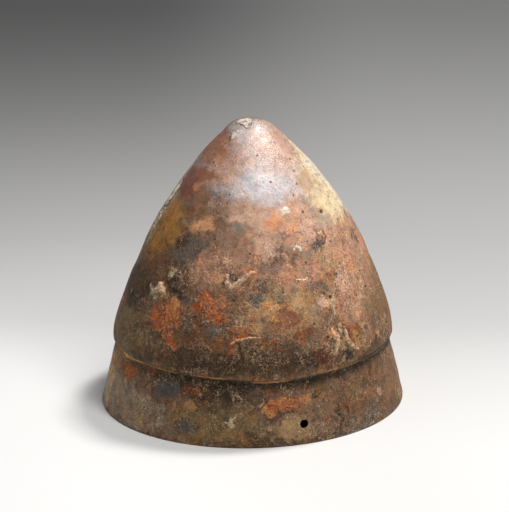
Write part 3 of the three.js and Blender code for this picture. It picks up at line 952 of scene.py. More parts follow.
# The smaller marks, laid over the close tones.
MARKS = {
    "ochre flank": (-73.5, 168.5, 12, 4.5, 0, "sienna", 0.9, 0.4, 0.5),
    "brown streak": (-62, 178, 12, 3, 0, "tan", 0.4, 0.5, 0.8),
    "taupe streak": (-54, 187, 8, 2.5, 0, "ash", 0.4, 0.5, 0.9),
    "pink scale": (-72.5, 160.5, 5, 3, 0, "orange", 0.7, 0.4, 0.8),
    "orange right crown": (36, 164.5, 9, 6, 0, "tan", 0.6, 0.45, 0.6),
    "cream streak": (63, 171.5, 9, 16, 0, "cream", 0.7, 0.4, 0.9),
    "cream lower": (50.5, 144, 12, 9, 0, "cream", 0.7, 0.45, 0.6),
    "peach upper": (-32.5, 154, 12, 5.5, 5, "pink", 0.65, 0.45, 0.7),
    "peach line": (-25.5, 147.5, 14, 3, 0, "peach", 0.65, 0.5, 0.9),
    "pitted spot": (-49, 152.5, 7, 5.5, 0, "taupe", 0.75, 0.35, 0.6),
    "orange brow": (-56, 139.5, 9, 4.4, 6, "apricot", 0.7, 0.5, 0.9),
    "slate brow line": (-46, 136.5, 6, 1.8, 12, "steel", 0.75, 0.4, 0.5),
    "slate centre": (-29.5, 140.5, 8, 4.4, 0, "grey", 0.8, 0.4, 0.5),
    "purple centre": (-37.5, 135.5, 6, 4.5, 0, "taupe", 0.6, 0.45, 0.5),
    "slate right": (-5, 136.5, 9, 2.6, 0, "mauve", 0.55, 0.5, 0.6),
    "orange upper": (-6, 145, 6.5, 4.6, 0, "orange", 0.65, 0.5, 1.1),
    "ochre upper": (2, 149.5, 5.5, 3.4, -10, "peach", 0.7, 0.4, 0.9),
    "cream upper": (5, 149.5, 2.6, 2.2, 0, "white", 0.7, 0.4, 0.9),
    "peach centre": (-13, 129.5, 9, 7.5, 0, "peach", 0.85, 0.4, 0.4),
    "cream fleck": (5.5, 129, 2.2, 1.5, 0, "white", 0.9, 0.3, 0.5),
    "pink flecks": (19, 143, 6, 4, 0, "peach", 0.7, 0.35, 0.9),
    "lilac right": (32, 139.5, 9, 6.5, 0, "ash", 0.8, 0.4, 0.45),
    "slate blister": (19.5, 126, 6.5, 3, 0, "steel", 0.85, 0.35, 0.5),
    "blister skin": (21.5, 130.5, 2.8, 3, 0, "pink", 0.85, 0.3, 0.4),
    # blister crescent: painted shadow along the blister's right side.
    "blister shadow": (26.5, 129.5, 1.1, 4.2, -10, "soot", 0.9, 0.35, 0.3),
    "blister rim": (24.5, 132.5, 1.1, 1.8, -20, "cream", 0.8, 0.35, 0.4),
    "brown spot": (55.5, 119, 2.6, 5.5, 0, "umber", 0.8, 0.4, 0.6),
    "cluster brow": (-66.5, 126.5, 5, 4.5, 0, "umber", 0.8, 0.35, 0.8),
    "orange speck": (-0.5, 123.5, 2.4, 1.2, 0, "peach", 0.7, 0.4, 0.6),
    "slate low centre": (-12, 117, 6, 3, 0, "mauve", 0.7, 0.4, 0.5),
    "slate under fleck": (11.5, 123.5, 7, 3, -5, "grey", 0.7, 0.4, 0.5),
    "hook hollow": (-31.5, 110, 3.6, 2.6, 0, "soot", 0.95, 0.35, 0.4),
    "cream arc": (-64.5, 111, 4.4, 1.3, -12, "tan", 0.8, 0.35, 0.8),
    "mauve scar": (-59, 104, 6, 5, 0, "umber", 0.85, 0.35, 0.5),
    "tan below lump": (-66.5, 93.5, 7, 2.4, 12, "ochre", 0.85, 0.4, 0.8),
    "scar left": (-93, 86, 1.8, 1.6, 0, "cream", 0.8, 0.35, 0.6),
    "scar left dark": (-90.5, 87, 2.4, 3, 0, "black", 0.9, 0.35, 0.5),
    "brow orange": (-58.5, 87, 7, 7.5, 0, "copper", 0.95, 0.3, 0.55),
    "brow orange smooth": (-58.5, 88.5, 5.6, 5.6, 0, "orange", 0.95, 0.35, 0.35),
    "brow orange lower": (-64, 79, 9, 7, -10, "copper", 0.9, 0.3, 0.7),
    "brow red low": (-65.5, 73, 5, 2.4, 0, "copper", 0.85, 0.35, 0.8),
    "brow red tail": (-56.5, 67, 3.6, 5.5, 0, "copper", 0.9, 0.3, 0.8),
    "brow brown halo": (-71.5, 71, 8, 3, 20, "brown", 0.6, 0.45, 0.8),
    "side red upper": (-40.5, 99.5, 5, 2.4, -20, "copper", 0.9, 0.3, 0.8),
    "side red": (-39, 94, 5, 4.4, -35, "copper", 0.95, 0.3, 0.9),
    "side red left": (-46.5, 91.5, 3, 3.4, 0, "copper", 0.9, 0.3, 0.9),
    "side brown left": (-44, 88, 6, 1.9, 0, "sienna", 0.85, 0.35, 0.9),
    "side red right": (-34.5, 89, 4, 2.8, 0, "brick", 0.85, 0.3, 1.0),
    "side rust": (-25.5, 91.5, 5, 4, 0, "brown", 0.6, 0.4, 1.1),
    "slate blue": (-19.5, 97.5, 4, 5, 15, "steel", 0.85, 0.35, 0.5),
    "slate flecks": (-37.5, 80, 6, 3.6, 0, "slate", 0.7, 0.4, 0.8),
    "blue spot": (-26.5, 81.5, 2.6, 2, 0, "steel", 0.85, 0.35, 0.5),
    "low red": (-25.5, 76.5, 5.5, 2.2, 12, "copper", 0.95, 0.3, 0.9),
    "low red left": (-30, 70, 2.6, 3.6, 0, "brick", 0.85, 0.35, 1.0),
    "low red right": (-16.5, 71, 3.6, 2.2, 0, "sienna", 0.85, 0.35, 0.8),
    "flake floor": (-25, 69, 6, 3.8, 0, "peat", 0.8, 0.3, 0.3),
    "orange centre": (-12.5, 95.5, 3, 2.6, 0, "orange", 0.85, 0.35, 0.6),
    "ochre centre": (-9.5, 92.5, 4, 3, 0, "apricot", 0.7, 0.4, 0.7),
    "red centre": (-4, 88.5, 6, 3.4, 0, "russet", 0.8, 0.35, 1.0),
    "red centre low": (-10, 81, 8, 3, 0, "russet", 0.6, 0.4, 1.1),
    "orange low right": (-1.5, 75, 3, 2, 0, "rust", 0.6, 0.35, 1.0),
    "green line": (5, 80, 1.2, 5, 0, "olive", 0.55, 0.35, 1.2),
    "tan chip": (13.5, 91.5, 5, 5, 0, "peach", 0.9, 0.35, 0.35),
    "grey hollow": (17.5, 99.5, 3.6, 2.2, 0, "slate", 0.85, 0.35, 0.5),
    "pale streak": (19, 88.5, 1.6, 8, -6, "cream", 0.7, 0.4, 0.7),
    "slate chip": (8.5, 87, 2.4, 3, 0, "ash", 0.6, 0.35, 0.7),
    "pink scale low": (6, 83.5, 3, 1.6, 0, "pink", 0.8, 0.35, 0.6),
    "brown scale right": (34, 96.5, 3.6, 4, 0, "tan", 0.7, 0.4, 0.8),
    "tan right": (30, 101.5, 9, 7, 0, "peach", 0.7, 0.45, 0.4),
    "red root": (13, 70, 3, 3.6, 0, "oxblood", 0.85, 0.35, 0.6),
    "tan root": (15, 71.5, 1.7, 4.6, 5, "orange", 0.85, 0.35, 0.6),
    "tan root low": (17.5, 63.5, 1.3, 4.6, 18, "ochre", 0.85, 0.35, 0.6),
    "tan root middle": (20.5, 66, 2.4, 2.6, 40, "tan", 0.85, 0.35, 0.7),
    "tan root rear": (24.5, 61, 1.4, 5.5, 28, "sienna", 0.85, 0.35, 0.7),
    "red low": (9.5, 59, 4.6, 5.6, 0, "oxblood", 0.85, 0.35, 0.6),
    "red root rear": (23, 71, 4, 3.4, 20, "rust", 0.7, 0.4, 0.7),
    "ochre roots": (33, 60.5, 10, 6, 25, "tan", 0.65, 0.4, 0.9),
    "tan strand": (32.5, 71, 1.3, 6, 18, "buff", 0.7, 0.35, 0.9),
    "tan strand far": (42.5, 60.5, 1.6, 5.5, 22, "apricot", 0.7, 0.35, 0.9),
    "purple low": (21.5, 56.5, 4.6, 5.6, 35, "soot", 0.95, 0.25, 0.3),
    "olive right": (40.5, 81, 6, 8, 0, "olive", 0.6, 0.45, 0.5),
    "white fleck": (4.5, 109, 1.1, 1.1, 0, "white", 0.9, 0.35, 0.3),
    "edge cream upper": (-108, 150, 2.5, 12, 0, "white", 0.9, 0.4, 1.2),
    "edge cream lower": (-105, 131, 3, 9, 0, "cream", 0.8, 0.4, 1.2),
    "edge dark flecks": (-103.5, 141, 2, 10, 0, "peat", 0.7, 0.4, 1.3),
    "cream rim right": (66, 150, 3, 22, 0, "white", 0.45, 0.4, 0.6),
    "edge crack": (55.5, 122, 1.2, 5, -16, "soot", 0.85, 0.35, 0.5),
    "scab peak": (-64, 108, 3, 2.4, -40, "cream", 0.8, 0.35, 0.7),
    "scab brown": (-60, 103, 6, 6, 0, "umber", 0.8, 0.35, 0.4),
    "scab shadow": (-55, 97, 5, 1.8, -35, "soot", 0.75, 0.4, 0.6),
    "lump cream": (-69, 97.5, 4.2, 3.6, 0, "cream", 0.9, 0.35, 0.4),
    "lump cream lower": (-73, 92.5, 4, 3, 0, "cream", 0.8, 0.4, 0.9),
    "brow slate low": (-65.5, 120, 7, 3.6, 8, "slate", 0.6, 0.45, 0.8),
    "brow slate mid": (-57, 122, 6, 4, 0, "slate", 0.55, 0.45, 0.8),
    "side red tip": (-43, 98.5, 4.4, 2, -12, "copper", 0.9, 0.3, 0.8),
    "side red far left": (-46, 92.5, 4.4, 2.4, 0, "brick", 0.9, 0.3, 0.9),
    "brow orange left": (-67, 83, 5, 5, 0, "copper", 0.85, 0.35, 0.9),
    "side red low": (-36.5, 88, 5, 2.6, 10, "copper", 0.9, 0.3, 0.9),
    "side red far right": (-31, 93, 3.6, 2, 0, "russet", 0.85, 0.35, 1.0),
    "side red speckle": (-34, 84.5, 6, 2, 0, "copper", 0.8, 0.35, 1.3),
    "low red middle": (-27, 73.5, 5, 2.4, 8, "copper", 0.9, 0.3, 0.9),
    "low red far": (-20, 77, 4, 1.6, 0, "rust", 0.85, 0.35, 1.0),
    "low red under": (-29.5, 66.5, 2.6, 2.6, 0, "russet", 0.85, 0.35, 1.0),
    "low red right far": (-11, 70, 4, 1.8, 0, "copper", 0.8, 0.35, 1.1),
    "grey green": (-50.5, 81.5, 3.4, 5, 0, "slate", 0.7, 0.35, 0.7),
    "flecky grey": (-35, 79, 7, 3.6, 0, "slate", 0.7, 0.4, 0.8),
    "brow tan flecks": (-47.5, 84, 3, 5, 0, "mud", 0.7, 0.4, 1.1),
    "orange centre low": (-11.5, 90, 3.4, 2.4, 0, "tan", 0.85, 0.35, 0.8),
    "slate spot centre": (-18.5, 99.5, 3.4, 3, 0, "slate", 0.85, 0.35, 0.6),
    "slate spot low": (-6, 98, 3, 2.4, 0, "slate", 0.75, 0.4, 0.7),
    "redbrown low": (-4, 83, 9, 4, 0, "russet", 0.8, 0.4, 0.9),
    "redbrown lower": (3, 76, 8, 3.4, 0, "rust", 0.75, 0.4, 1.0),
    "umber low": (-8, 66, 14, 4.4, 0, "umber", 0.7, 0.4, 0.7),
    "purple low left": (-44, 62, 11, 4, 0, "umber", 0.75, 0.4, 0.6),
    "orange brown low": (28, 71, 5, 4, 0, "sienna", 0.8, 0.4, 0.9),
    "tan strand middle": (28, 66, 1.8, 7, 22, "ochre", 0.8, 0.35, 0.8),
    "dark between roots": (21, 61, 1.6, 5, 24, "soot", 0.8, 0.35, 0.8),
    "tan low edge": (30, 56, 9, 2.6, 20, "mud", 0.6, 0.4, 0.8),
    "band red low middle": (-45, 36.5, 5.5, 2.6, 0, "sienna", 0.9, 0.3, 0.8),
    "band orange brown": (-44.5, 24.5, 4.4, 2.4, 0, "ochre", 0.85, 0.35, 0.8),
    "band rust left": (-79, 34, 7, 3.2, 0, "sienna", 0.85, 0.35, 0.8),
    "band teal": (-52.5, 33, 5, 6, 0, "steel", 0.7, 0.4, 0.5),
    "band tan left": (-70, 24, 6, 3, 0, "ash", 0.7, 0.4, 1.0),
    "band olive": (-38, 22, 8, 4, 0, "olive", 0.7, 0.4, 0.8),
    "band dark low": (-56, 9, 9, 4, 0, "grey", 0.7, 0.4, 0.9),
    "band orange tongue": (-13, 24.5, 5, 2.6, 10, "orange", 0.85, 0.35, 0.9),
    "band orange bloom": (1, 31.5, 4, 2, 0, "orange", 0.8, 0.35, 1.0),
    "band tan right": (24, 28, 7, 4, 0, "mud", 0.7, 0.4, 0.8),
    "band brown right": (28, 37, 6, 3, 0, "brown", 0.75, 0.4, 0.7),
    "band gold": (-96, 36.5, 9, 8, 0, "ochre", 0.8, 0.4, 0.5),
    "band red": (-80.5, 38, 9, 4.6, 0, "copper", 0.9, 0.35, 0.6),
    "band red bright": (-76, 38, 3.6, 3, 0, "copper", 0.85, 0.35, 0.7),
    "band orange far": (-96, 21, 4, 1.6, 8, "orange", 0.7, 0.4, 0.8),
    "band slate": (-58.5, 36, 8, 7, 0, "steel", 0.85, 0.4, 0.35),
    "band red middle": (-45.5, 38.5, 6, 3.6, 0, "oxblood", 0.9, 0.35, 0.6),
    "band orange middle": (-42.5, 38, 2.6, 1.8, 0, "copper", 0.85, 0.35, 0.5),
    "band orange low": (-45, 27, 4, 2, 8, "tan", 0.85, 0.35, 0.6),
    "band slate low": (-47.5, 10, 7, 4.4, 0, "steel", 0.75, 0.4, 0.7),
    "band dark": (-33, 29, 9, 5, 0, "peat", 0.7, 0.45, 0.5),
    "band streak": (-28, 18.5, 1.8, 6, -42, "cream", 0.8, 0.4, 0.6),
    "band umber": (-19, 7.5, 7, 7, 0, "umber", 0.75, 0.4, 0.5),
    "band ochre left": (-58.5, 18, 2.2, 5, 0, "ash", 0.7, 0.4, 0.9),
    "band orange": (-8.5, 29.5, 9, 4.4, 8, "copper", 0.95, 0.35, 0.8),
    "band orange left": (-15.5, 25.5, 2.4, 2, 0, "orange", 0.85, 0.35, 0.8),
    "band orange bright": (-6, 31.5, 4.5, 2, 0, "orange", 0.8, 0.35, 1.2),
    "band buff left": (-17, 30, 3, 2, 0, "buff", 0.75, 0.35, 1.0),
    "band buff": (-4, 12, 15, 8.5, 0, "buff", 0.7, 0.45, 0.8),
    "band ochre": (8, 37.5, 6.5, 2.6, -6, "mud", 0.8, 0.4, 0.6),
    "band bar": (15, 13, 2.7, 9, 0, "soot", 0.95, 0.3, 0.3),
    "band bar red": (19, 14.5, 1.3, 6, 0, "soot", 0.8, 0.4, 0.6),
    "band rust": (34.5, 39.5, 3.2, 5, 0, "oxblood", 0.85, 0.35, 0.6),
    "band pink": (40, 19.5, 2.6, 3, 0, "peach", 0.8, 0.35, 0.5),
    "band slate right": (32.5, 10.5, 9, 6, 0, "slate", 0.75, 0.4, 0.7),
}

# Small round pits: azimuth, height, half width and half height.
PITS = [
    (34, 144.5, 1.5, 1.3),
    (18, 94.5, 1.3, 1.2),
    (-6, 102, 0.9, 0.9),
    (26, 107, 0.8, 0.8),
    (-70, 176, 0.9, 0.8),
    (-40, 160, 0.7, 0.7),
    (14, 158, 0.6, 0.6),
    (9, 118, 0.8, 0.7),
    (-22, 126, 0.7, 0.7),
    (44, 92, 0.9, 0.9),
    (-78, 66, 0.9, 0.8),
    (4, 22, 0.8, 0.8),
    (38, 28, 0.9, 0.8),
]

# Places where the skin is scaly, with dark pits and pale flecks close together, given like stains.
SCALY = [
    (-69, 193, 3, 4.5, 0, 0.4, 0.6),
    (-74, 186, 4, 4, 0, 0.4, 0.6),
    (-83, 181, 5, 3.5, 0, 0.4, 0.6),
    (-66, 174, 6, 4, 0, 0.4, 0.8),
    (-57, 164, 6, 4, 0, 0.4, 0.8),
    (-49, 152.5, 7.5, 6, 0, 0.35, 0.5),
    (-66, 127, 6.5, 5.5, 0, 0.4, 0.6),
    (-104, 153, 5, 11, 0, 0.4, 0.8),
    (-106, 138, 4, 9, 0, 0.4, 0.8),
    (53, 184, 5, 8, 0, 0.4, 0.6),
    (53, 160, 6, 14, 0, 0.4, 0.7),
    (47, 139, 7, 8, 0, 0.4, 0.7),
    (57, 118, 3.5, 8, -10, 0.4, 0.6),
    (46, 107, 4, 7, 0, 0.4, 0.8),
    (38, 118, 4, 4, 0, 0.4, 0.8),
    (22, 127, 8, 5, 0, 0.4, 0.7),
    (16, 100, 6, 3, 0, 0.4, 0.7),
    (-60, 104, 8, 8, 0, 0.4, 0.6),
    (-30, 108, 9, 6, 0, 0.4, 0.7),
    (-67, 84, 8, 9, 0, 0.4, 0.8),
    (-50, 82, 6, 8, 0, 0.4, 0.8),
    (-36, 85, 9, 6, 0, 0.4, 0.8),
    (-27, 72, 9, 5, 0, 0.4, 0.8),
    (-35, 79, 8, 4.5, 0, 0.4, 0.6),
    (-62, 76, 8, 7, 0, 0.4, 0.8),
    (-22, 96, 6, 5, 0, 0.4, 0.8),
    (16, 66, 9, 9, 0, 0.4, 0.8),
    (30, 64, 9, 7, 20, 0.4, 0.8),
    (-14, 26, 11, 5, 8, 0.4, 0.8),
    (8, 31, 8, 5, 0, 0.4, 0.8),
    (-66, 20, 10, 8, 0, 0.4, 0.8),
    (-47, 14, 9, 6, 0, 0.4, 0.8),
]

# Marks that follow the crease and the lip over it, given like stains.
CREASE_MARKS = {
    # crease gold: partly bare worn bronze, partly a painted highlight where the fold catches the light.
    "crease gold": (-84, 43.8, 20, 1.5, 0, "gold", 1.0, 0.35, 0.12),
    "crease rust": (-66, 43, 9, 1.3, 0, "sienna", 0.8, 0.4, 0.4),
    # The four lip marks below are a painted highlight along the lip's lower edge, in orange and ochre.
    "lip highlight left": (-62, 46.3, 17, 0.8, 0, "ochre", 0.8, 0.4, 0.25),
    "lip orange": (-38, 46.3, 12, 0.7, 0, "orange", 0.85, 0.4, 0.25),
    "lip highlight middle": (-13, 46.3, 12, 0.7, 0, "orange", 0.85, 0.4, 0.3),
    "lip highlight right": (22, 46.2, 26, 0.8, 0, "ochre", 0.75, 0.4, 0.35),
    "crease brown right": (48, 43.6, 20, 1.4, 0, "mud", 0.8, 0.4, 0.4),
}

# Colours of the seeded stains on the unseen sides, and how strongly each covers.
UNSEEN_TINTS = {
    "slate": 0.8,
    "brown": 0.75,
    "pink": 0.7,
    "russet": 0.8,
    "copper": 0.9,
    "tan": 0.7,
    "ochre": 0.7,
    "buff": 0.6,
    "peat": 0.8,
}
UNSEEN_STAINS = 30
UNSEEN_AZIMUTHS = (84, 236)
UNSEEN_HEIGHTS = (8, 176)
# Above this height the cone is narrow, and its stains are smaller.
NARROW_CONE = 140


def unseen_stains():
    """Stains for the side away from the photograph, drawn by chance from the same colours."""
    draw = random.Random(29)
    for _ in range(UNSEEN_STAINS):
        tint, strength = draw.choice(list(UNSEEN_TINTS.items()))
        height = draw.uniform(*UNSEEN_HEIGHTS)
        across = draw.uniform(4, 16) * (1.0 if height < NARROW_CONE else 0.6)
        up = across * draw.uniform(0.4, 1.0)
        azimuth = draw.uniform(*UNSEEN_AZIMUTHS)
        tilt = draw.uniform(-25, 25)
        yield (azimuth, height, across, up, tilt, tint, strength, 0.35, 0.6)


def lay_tones(f):
    """The skin's colours: ground, wide tones and tints, then close tones and marks."""
    calm_flank = f.stain(62, 104, 30, 36, 0, 0.5, 0.2)
    close_share = f.math("MULTIPLY_ADD", calm_flank, -0.6, 1.0)
    wide = f.noise(f.wandering, 26.0, 6.0, 0.65).outputs["Fac"]
    colour = f.mix(paint("5c4a3c"), paint("8c6e56"), f.rise(wide, 0.38, 0.62))
    for number, (size, low, high, tint, strength) in enumerate(WIDE_TONES.values()):
        mask = f.clouds(size, low, high, (number * 31.0, 17.0, 53.0))
        colour = f.lay(colour, tint, mask, strength)
    colour = f.lay_stains(colour, TINTS.values())
    for number, (size, low, high, tint, strength) in enumerate(CLOSE_TONES.values()):
        mask = f.clouds(size, low, high, (number * 23.0, 91.0, 11.0))
        share = f.math("MULTIPLY", mask, f.fit(f.height, 120.0, 172.0, strength, 0.4 * strength))
        share = f.math("MULTIPLY", share, close_share)
        colour = f.mix(colour, paint(tint), share, "OVERLAY")
    return f.lay_stains(colour, [*MARKS.values(), *unseen_stains()])


def lay_crease(f, colour):
    """The painted shade in the crease, and the ochre and rust and the painted lip highlight along it,
    which follow its bends.
    """
    ring = f.math("MULTIPLY_ADD", f.ragged, 0.55, f.level)
    for middle, spread, height in CREASE_BENDS:
        reach = math.radians(spread) * STEP_LENGTH / 4
        bend = f.stain(middle, CREASE_HEIGHT, reach, 40, 0, 1.0, 0.0, f.place)
        ring = f.math("MULTIPLY_ADD", bend, -height, ring)
    # Painted shade: a near-black ring in the crease and just under the lip, with less of it at the far
    # left end.
    crease_shade = f.math("MULTIPLY", f.rise(ring, 36.5, 43.0), f.rise(ring, 48.0, 46.2))
    unshaded_end = f.stain(-88, 44, 32, 16, 0, 0.25, 0.1)
    crease_shade = f.math("MULTIPLY", crease_shade, f.fit(unshaded_end, 0.0, 1.0, 1.0, 0.15))
    colour = f.lay(colour, "170f09", crease_shade, 0.92)
    bent = []
    for azimuth, height, *rest in CREASE_MARKS.values():
        bent.append((azimuth, height + crease_bend(on_bronze(azimuth, height)), *rest))
    return f.lay_stains(colour, bent, f.place)


def lay_grain(f, colour, crusty):
    """The grain, pits, cracks and curls all over the skin: its colour with them, and its relief."""
    lumps = f.noise(f.place, 5.5, 5.0, 0.62).outputs["Fac"]
    knots = f.noise(f.place, 2.2, 6.0, 0.7).outputs["Fac"]
    grain = f.noise(f.place, 0.95, 4.0, 0.7).outputs["Fac"]
    scaly = f.clouds(17.0, 0.56, 0.63, (2.0, 6.0, 9.0))
    scaly = f.math("MULTIPLY", scaly, f.math("MULTIPLY", crusty, 0.35))
    for place in SCALY:
        scaly = f.math("MAXIMUM", scaly, f.stain(*place))
    scaly = f.math("MULTIPLY", scaly, f.clouds(3.0, 0.36, 0.5, (9.0, 9.0, 1.0), f.place))

    fine_pits = f.specks(2.1, 0.4, 0.25, (9.0, 3.0, 1.0))
    pits = f.specks(6.0, 0.4, 0.2, (4.0, 1.0, 6.0))
    for azimuth, height, across, up in PITS:
        pits = f.math("MAXIMUM", pits, f.stain(azimuth, height, across, up, 0, 0.35, 0.1, f.place))
    holes = f.math("MULTIPLY", f.specks(1.8, 0.8, 0.5, (3.0, 3.0, 7.0)), scaly)
    flecks = f.math("MULTIPLY", f.specks(1.7, 0.55, 0.42, (8.0, 1.0, 3.0)), scaly)
    cracks = f.patchy_threads(8.0, 0.015, (3.0, 8.0, 5.0), (9.0, 0.46, 0.58, (6.0, 3.0, 8.0)))
    cracks = f.math("MULTIPLY", cracks, crusty)
    curls = f.patchy_threads(6.5, 0.022, (7.0, 2.0, 4.0), (7.0, 0.43, 0.55, (1.0, 5.0, 2.0)))
    fine_curls = f.patchy_threads(3.8, 0.022, (1.0, 7.0, 6.0), (6.0, 0.45, 0.57, (4.0, 4.0, 8.0)))
    curls = f.math("MULTIPLY", f.math("MAXIMUM", curls, fine_curls), crusty)
    scratches = f.patchy_threads(2.1, 0.028, (5.0, 9.0, 2.0), (8.0, 0.4, 0.56, (2.0, 8.0, 3.0)))
    scratches = f.math("MULTIPLY", scratches, crusty)
    creases = f.patchy_threads(1.9, 0.028, (9.0, 1.0, 8.0), (7.0, 0.4, 0.56, (6.0, 1.0, 5.0)))
    creases = f.math("MULTIPLY", creases, crusty)

    ember = f.math("MULTIPLY", f.clouds(2.8, 0.56, 0.64, (5.0, 5.0, 2.0), f.place), crusty)
    ash = f.math("MULTIPLY", f.clouds(2.4, 0.56, 0.64, (15.0, 2.0, 9.0), f.place), crusty)
    colour = f.mix(colour, paint("ccb09c"), f.math("MULTIPLY", ember, 0.3), "OVERLAY")
    colour = f.mix(colour, paint("949698"), f.math("MULTIPLY", ash, 0.6), "OVERLAY")
    colour = f.shade(colour, lumps, 0.3, 0.7, 0.82, 1.2)
    colour = f.shade(colour, grain, 0.28, 0.72, 0.88, 1.12)
    colour = f.shade(colour, knots, 0.3, 0.7, 0.8, 1.18, crusty)
    colour = f.shade(colour, grain, 0.3, 0.7, 0.58, 1.46, crusty)
    colour = f.lay(colour, "261a14", creases, 0.5)
    colour = f.lay(colour, "d0ac84", scratches, 0.32)
    colour = f.shade(colour, scratches, 0.0, 1.0, 1.0, 1.5)
    colour = f.lay(colour, "261a14", cracks, 0.55)
    colour = f.lay(colour, "dcbc94", curls, 0.45)
    colour = f.shade(colour, curls, 0.0, 1.0, 1.0, 1.5)
    for code, mask, strength in (
        ("3a2a22", fine_pits, 0.6),
        ("2a201b", pits, 0.8),
        ("e0c6a4", flecks, 0.7),
        ("1d1410", holes, 0.85),
    ):
        colour = f.lay(colour, code, mask, strength)
    relief_height = f.total(
        (lumps, 0.35),
        (knots, f.math("MULTIPLY", crusty, 0.7)),
        (grain, f.math("MULTIPLY_ADD", crusty, 0.26, 0.06)),
        (curls, 0.2),
        (cracks, -0.2),
        (scratches, 0.1),
        (creases, -0.1),
        (fine_pits, -0.1),
        (pits, -0.3),
        (flecks, 0.15),
        (holes, -0.3),
    )
    return colour, relief_height


def make_patina_group():
    """The stained bronze's colour, which also holds painted shade and painted highlights, its relief,
    and how far a point is up the smoother crown.
    """
    outputs = {"Colour": "colour", "Relief": "value", "Crown": "value"}
    f = Painter(new_group("patina", {}, outputs))
    _, out = ends(f)
    crown = f.rise(f.height, 132.0, 178.0)
    smooth_flank = f.stain(-99, 124, 30, 55, 0, 0.5, 0.2)
    crusty = f.fit(f.clouds(15.0, 0.42, 0.6, (41.0, 7.0, 3.0)), 0.0, 1.0, 0.3, 1.0)
    crusty = f.math("MULTIPLY", crusty, f.fit(f.height, 100.0, 158.0, 1.0, 0.25))
    crusty = f.math("MULTIPLY", crusty, f.math("MULTIPLY_ADD", smooth_flank, -0.6, 1.0))
    colour = lay_crease(f, lay_tones(f))
    colour, relief_height = lay_grain(f, colour, crusty)
    f.give(out["Colour"], colour)
    f.give(out["Relief"], relief_height)
    f.give(out["Crown"], crown)


for make_group in (
    make_place_group,
    make_stain_group,
    make_clouds_group,
    make_specks_group,
    make_threads_group,
    make_patina_group,
):
    make_group()


class Finish(Painter):
    """The nodes of one material, from the place on the skin to its shader."""

    def __init__(self, name):
        self.material = bpy.data.materials.new(name)
        self.material.use_nodes = True
        super().__init__(self.material.node_tree)
        self.shader = self.tree.nodes["Principled BSDF"]

    def done(self, colour, roughness, metallic, height):
        """The finished material, its relief given as a height in millimetres."""
        bump = self.put("ShaderNodeBump", {"Height": height, "Strength": 1.0, "Distance": MM})
        values = {"Base Color": colour, "Normal": bump.outputs[0]}
        values |= {"Roughness": roughness, "Metallic": metallic}
        for key, value in values.items():
            self.give(self.shader.inputs[key], value)
        return self.material


def skin_finish():
    """The outside: mottled stains, rough low down and satin at the tip."""
    f = Finish("stained_bronze_skin")
    patina = f.group("patina")
    roughness = f.fit(patina["Crown"], 0.0, 1.0, 0.62, 0.36)
    f.shader.inputs["IOR"].default_value = 1.6
    f.give(f.shader.inputs["Specular IOR Level"], f.fit(patina["Crown"], 0.0, 1.0, 0.16, 1.0))
    return f.done(patina["Colour"], roughness, 0.0, patina["Relief"])


def inside_finish():
    """The inside: darker, duller bronze with lime bloom and a little cuprite."""
    f = Finish("inner_bronze")
    wide = f.noise(f.wandering, 24.0, 5.0, 0.6).outputs["Fac"]
    colour = f.mix(paint("4a3d31"), paint("6f5a45"), f.rise(wide, 0.36, 0.64))
    colour = f.lay(colour, "7d6f57", f.clouds(11.0, 0.54, 0.64, (3.0, 1.0, 4.0)), 0.6)
    colour = f.lay(colour, "7a4527", f.clouds(14.0, 0.57, 0.66, (8.0, 6.0, 2.0)), 0.7)
    colour = f.lay(colour, "5f6350", f.clouds(18.0, 0.58, 0.68, (2.0, 9.0, 9.0)), 0.5)
    coarse = f.noise(f.place, 2.4, 6.0, 0.7).outputs["Fac"]
    colour = f.shade(colour, coarse, 0.34, 0.66, 0.6, 1.4)
    dust = f.clouds(1.7, 0.58, 0.66, (1.0, 4.0, 6.0), f.place)
    colour = f.lay(colour, "b39f80", dust, 0.45)
    return f.done(colour, 0.75, 0.1, f.total((coarse, 0.5), (dust, 0.1)))


def lime_finish():
    """Burial lime: grey-white at the tip and buff lower down, thin enough to show the patina."""
    f = Finish("burial_lime")
    patina = f.group("patina")
    pale = f.mix(paint("d4ab88"), paint("c4bcae"), f.rise(f.level, 87.0, 176.0))
    tone = f.noise(f.place, 2.6, 7.0, 0.7).outputs["Fac"]
    colour = f.mix(patina["Colour"], pale, f.fit(tone, 0.36, 0.52, 0.0, 0.85))
    colour = f.shade(colour, tone, 0.34, 0.66, 0.6, 1.3)
    colour = f.lay(colour, "4d3c30", f.specks(2.3, 0.5, 0.26, (1.0, 1.0, 2.0)), 0.7)
    grain = f.noise(f.place, 0.8, 5.0, 0.7).outputs["Fac"]
    return f.done(colour, 0.85, 0.0, f.total((grain, 0.3), (tone, 0.6)))


def scab_finish():
    """A dark corrosion scab with the patina's tones in it."""
    f = Finish("brown_scab")
    patina = f.group("patina")
    tone = f.noise(f.place, 3.0, 7.0, 0.72).outputs["Fac"]
    colour = f.mix(patina["Colour"], paint("4e372d"), f.fit(tone, 0.6, 0.44, 0.0, 0.6))
    colour = f.lay(colour, "a07a60", f.clouds(2.4, 0.56, 0.64, (4.0, 4.0, 4.0), f.place), 0.6)
    grain = f.noise(f.place, 0.9, 5.0, 0.7).outputs["Fac"]
    return f.done(colour, 0.78, 0.05, f.total((grain, 0.35), (tone, 0.7)))


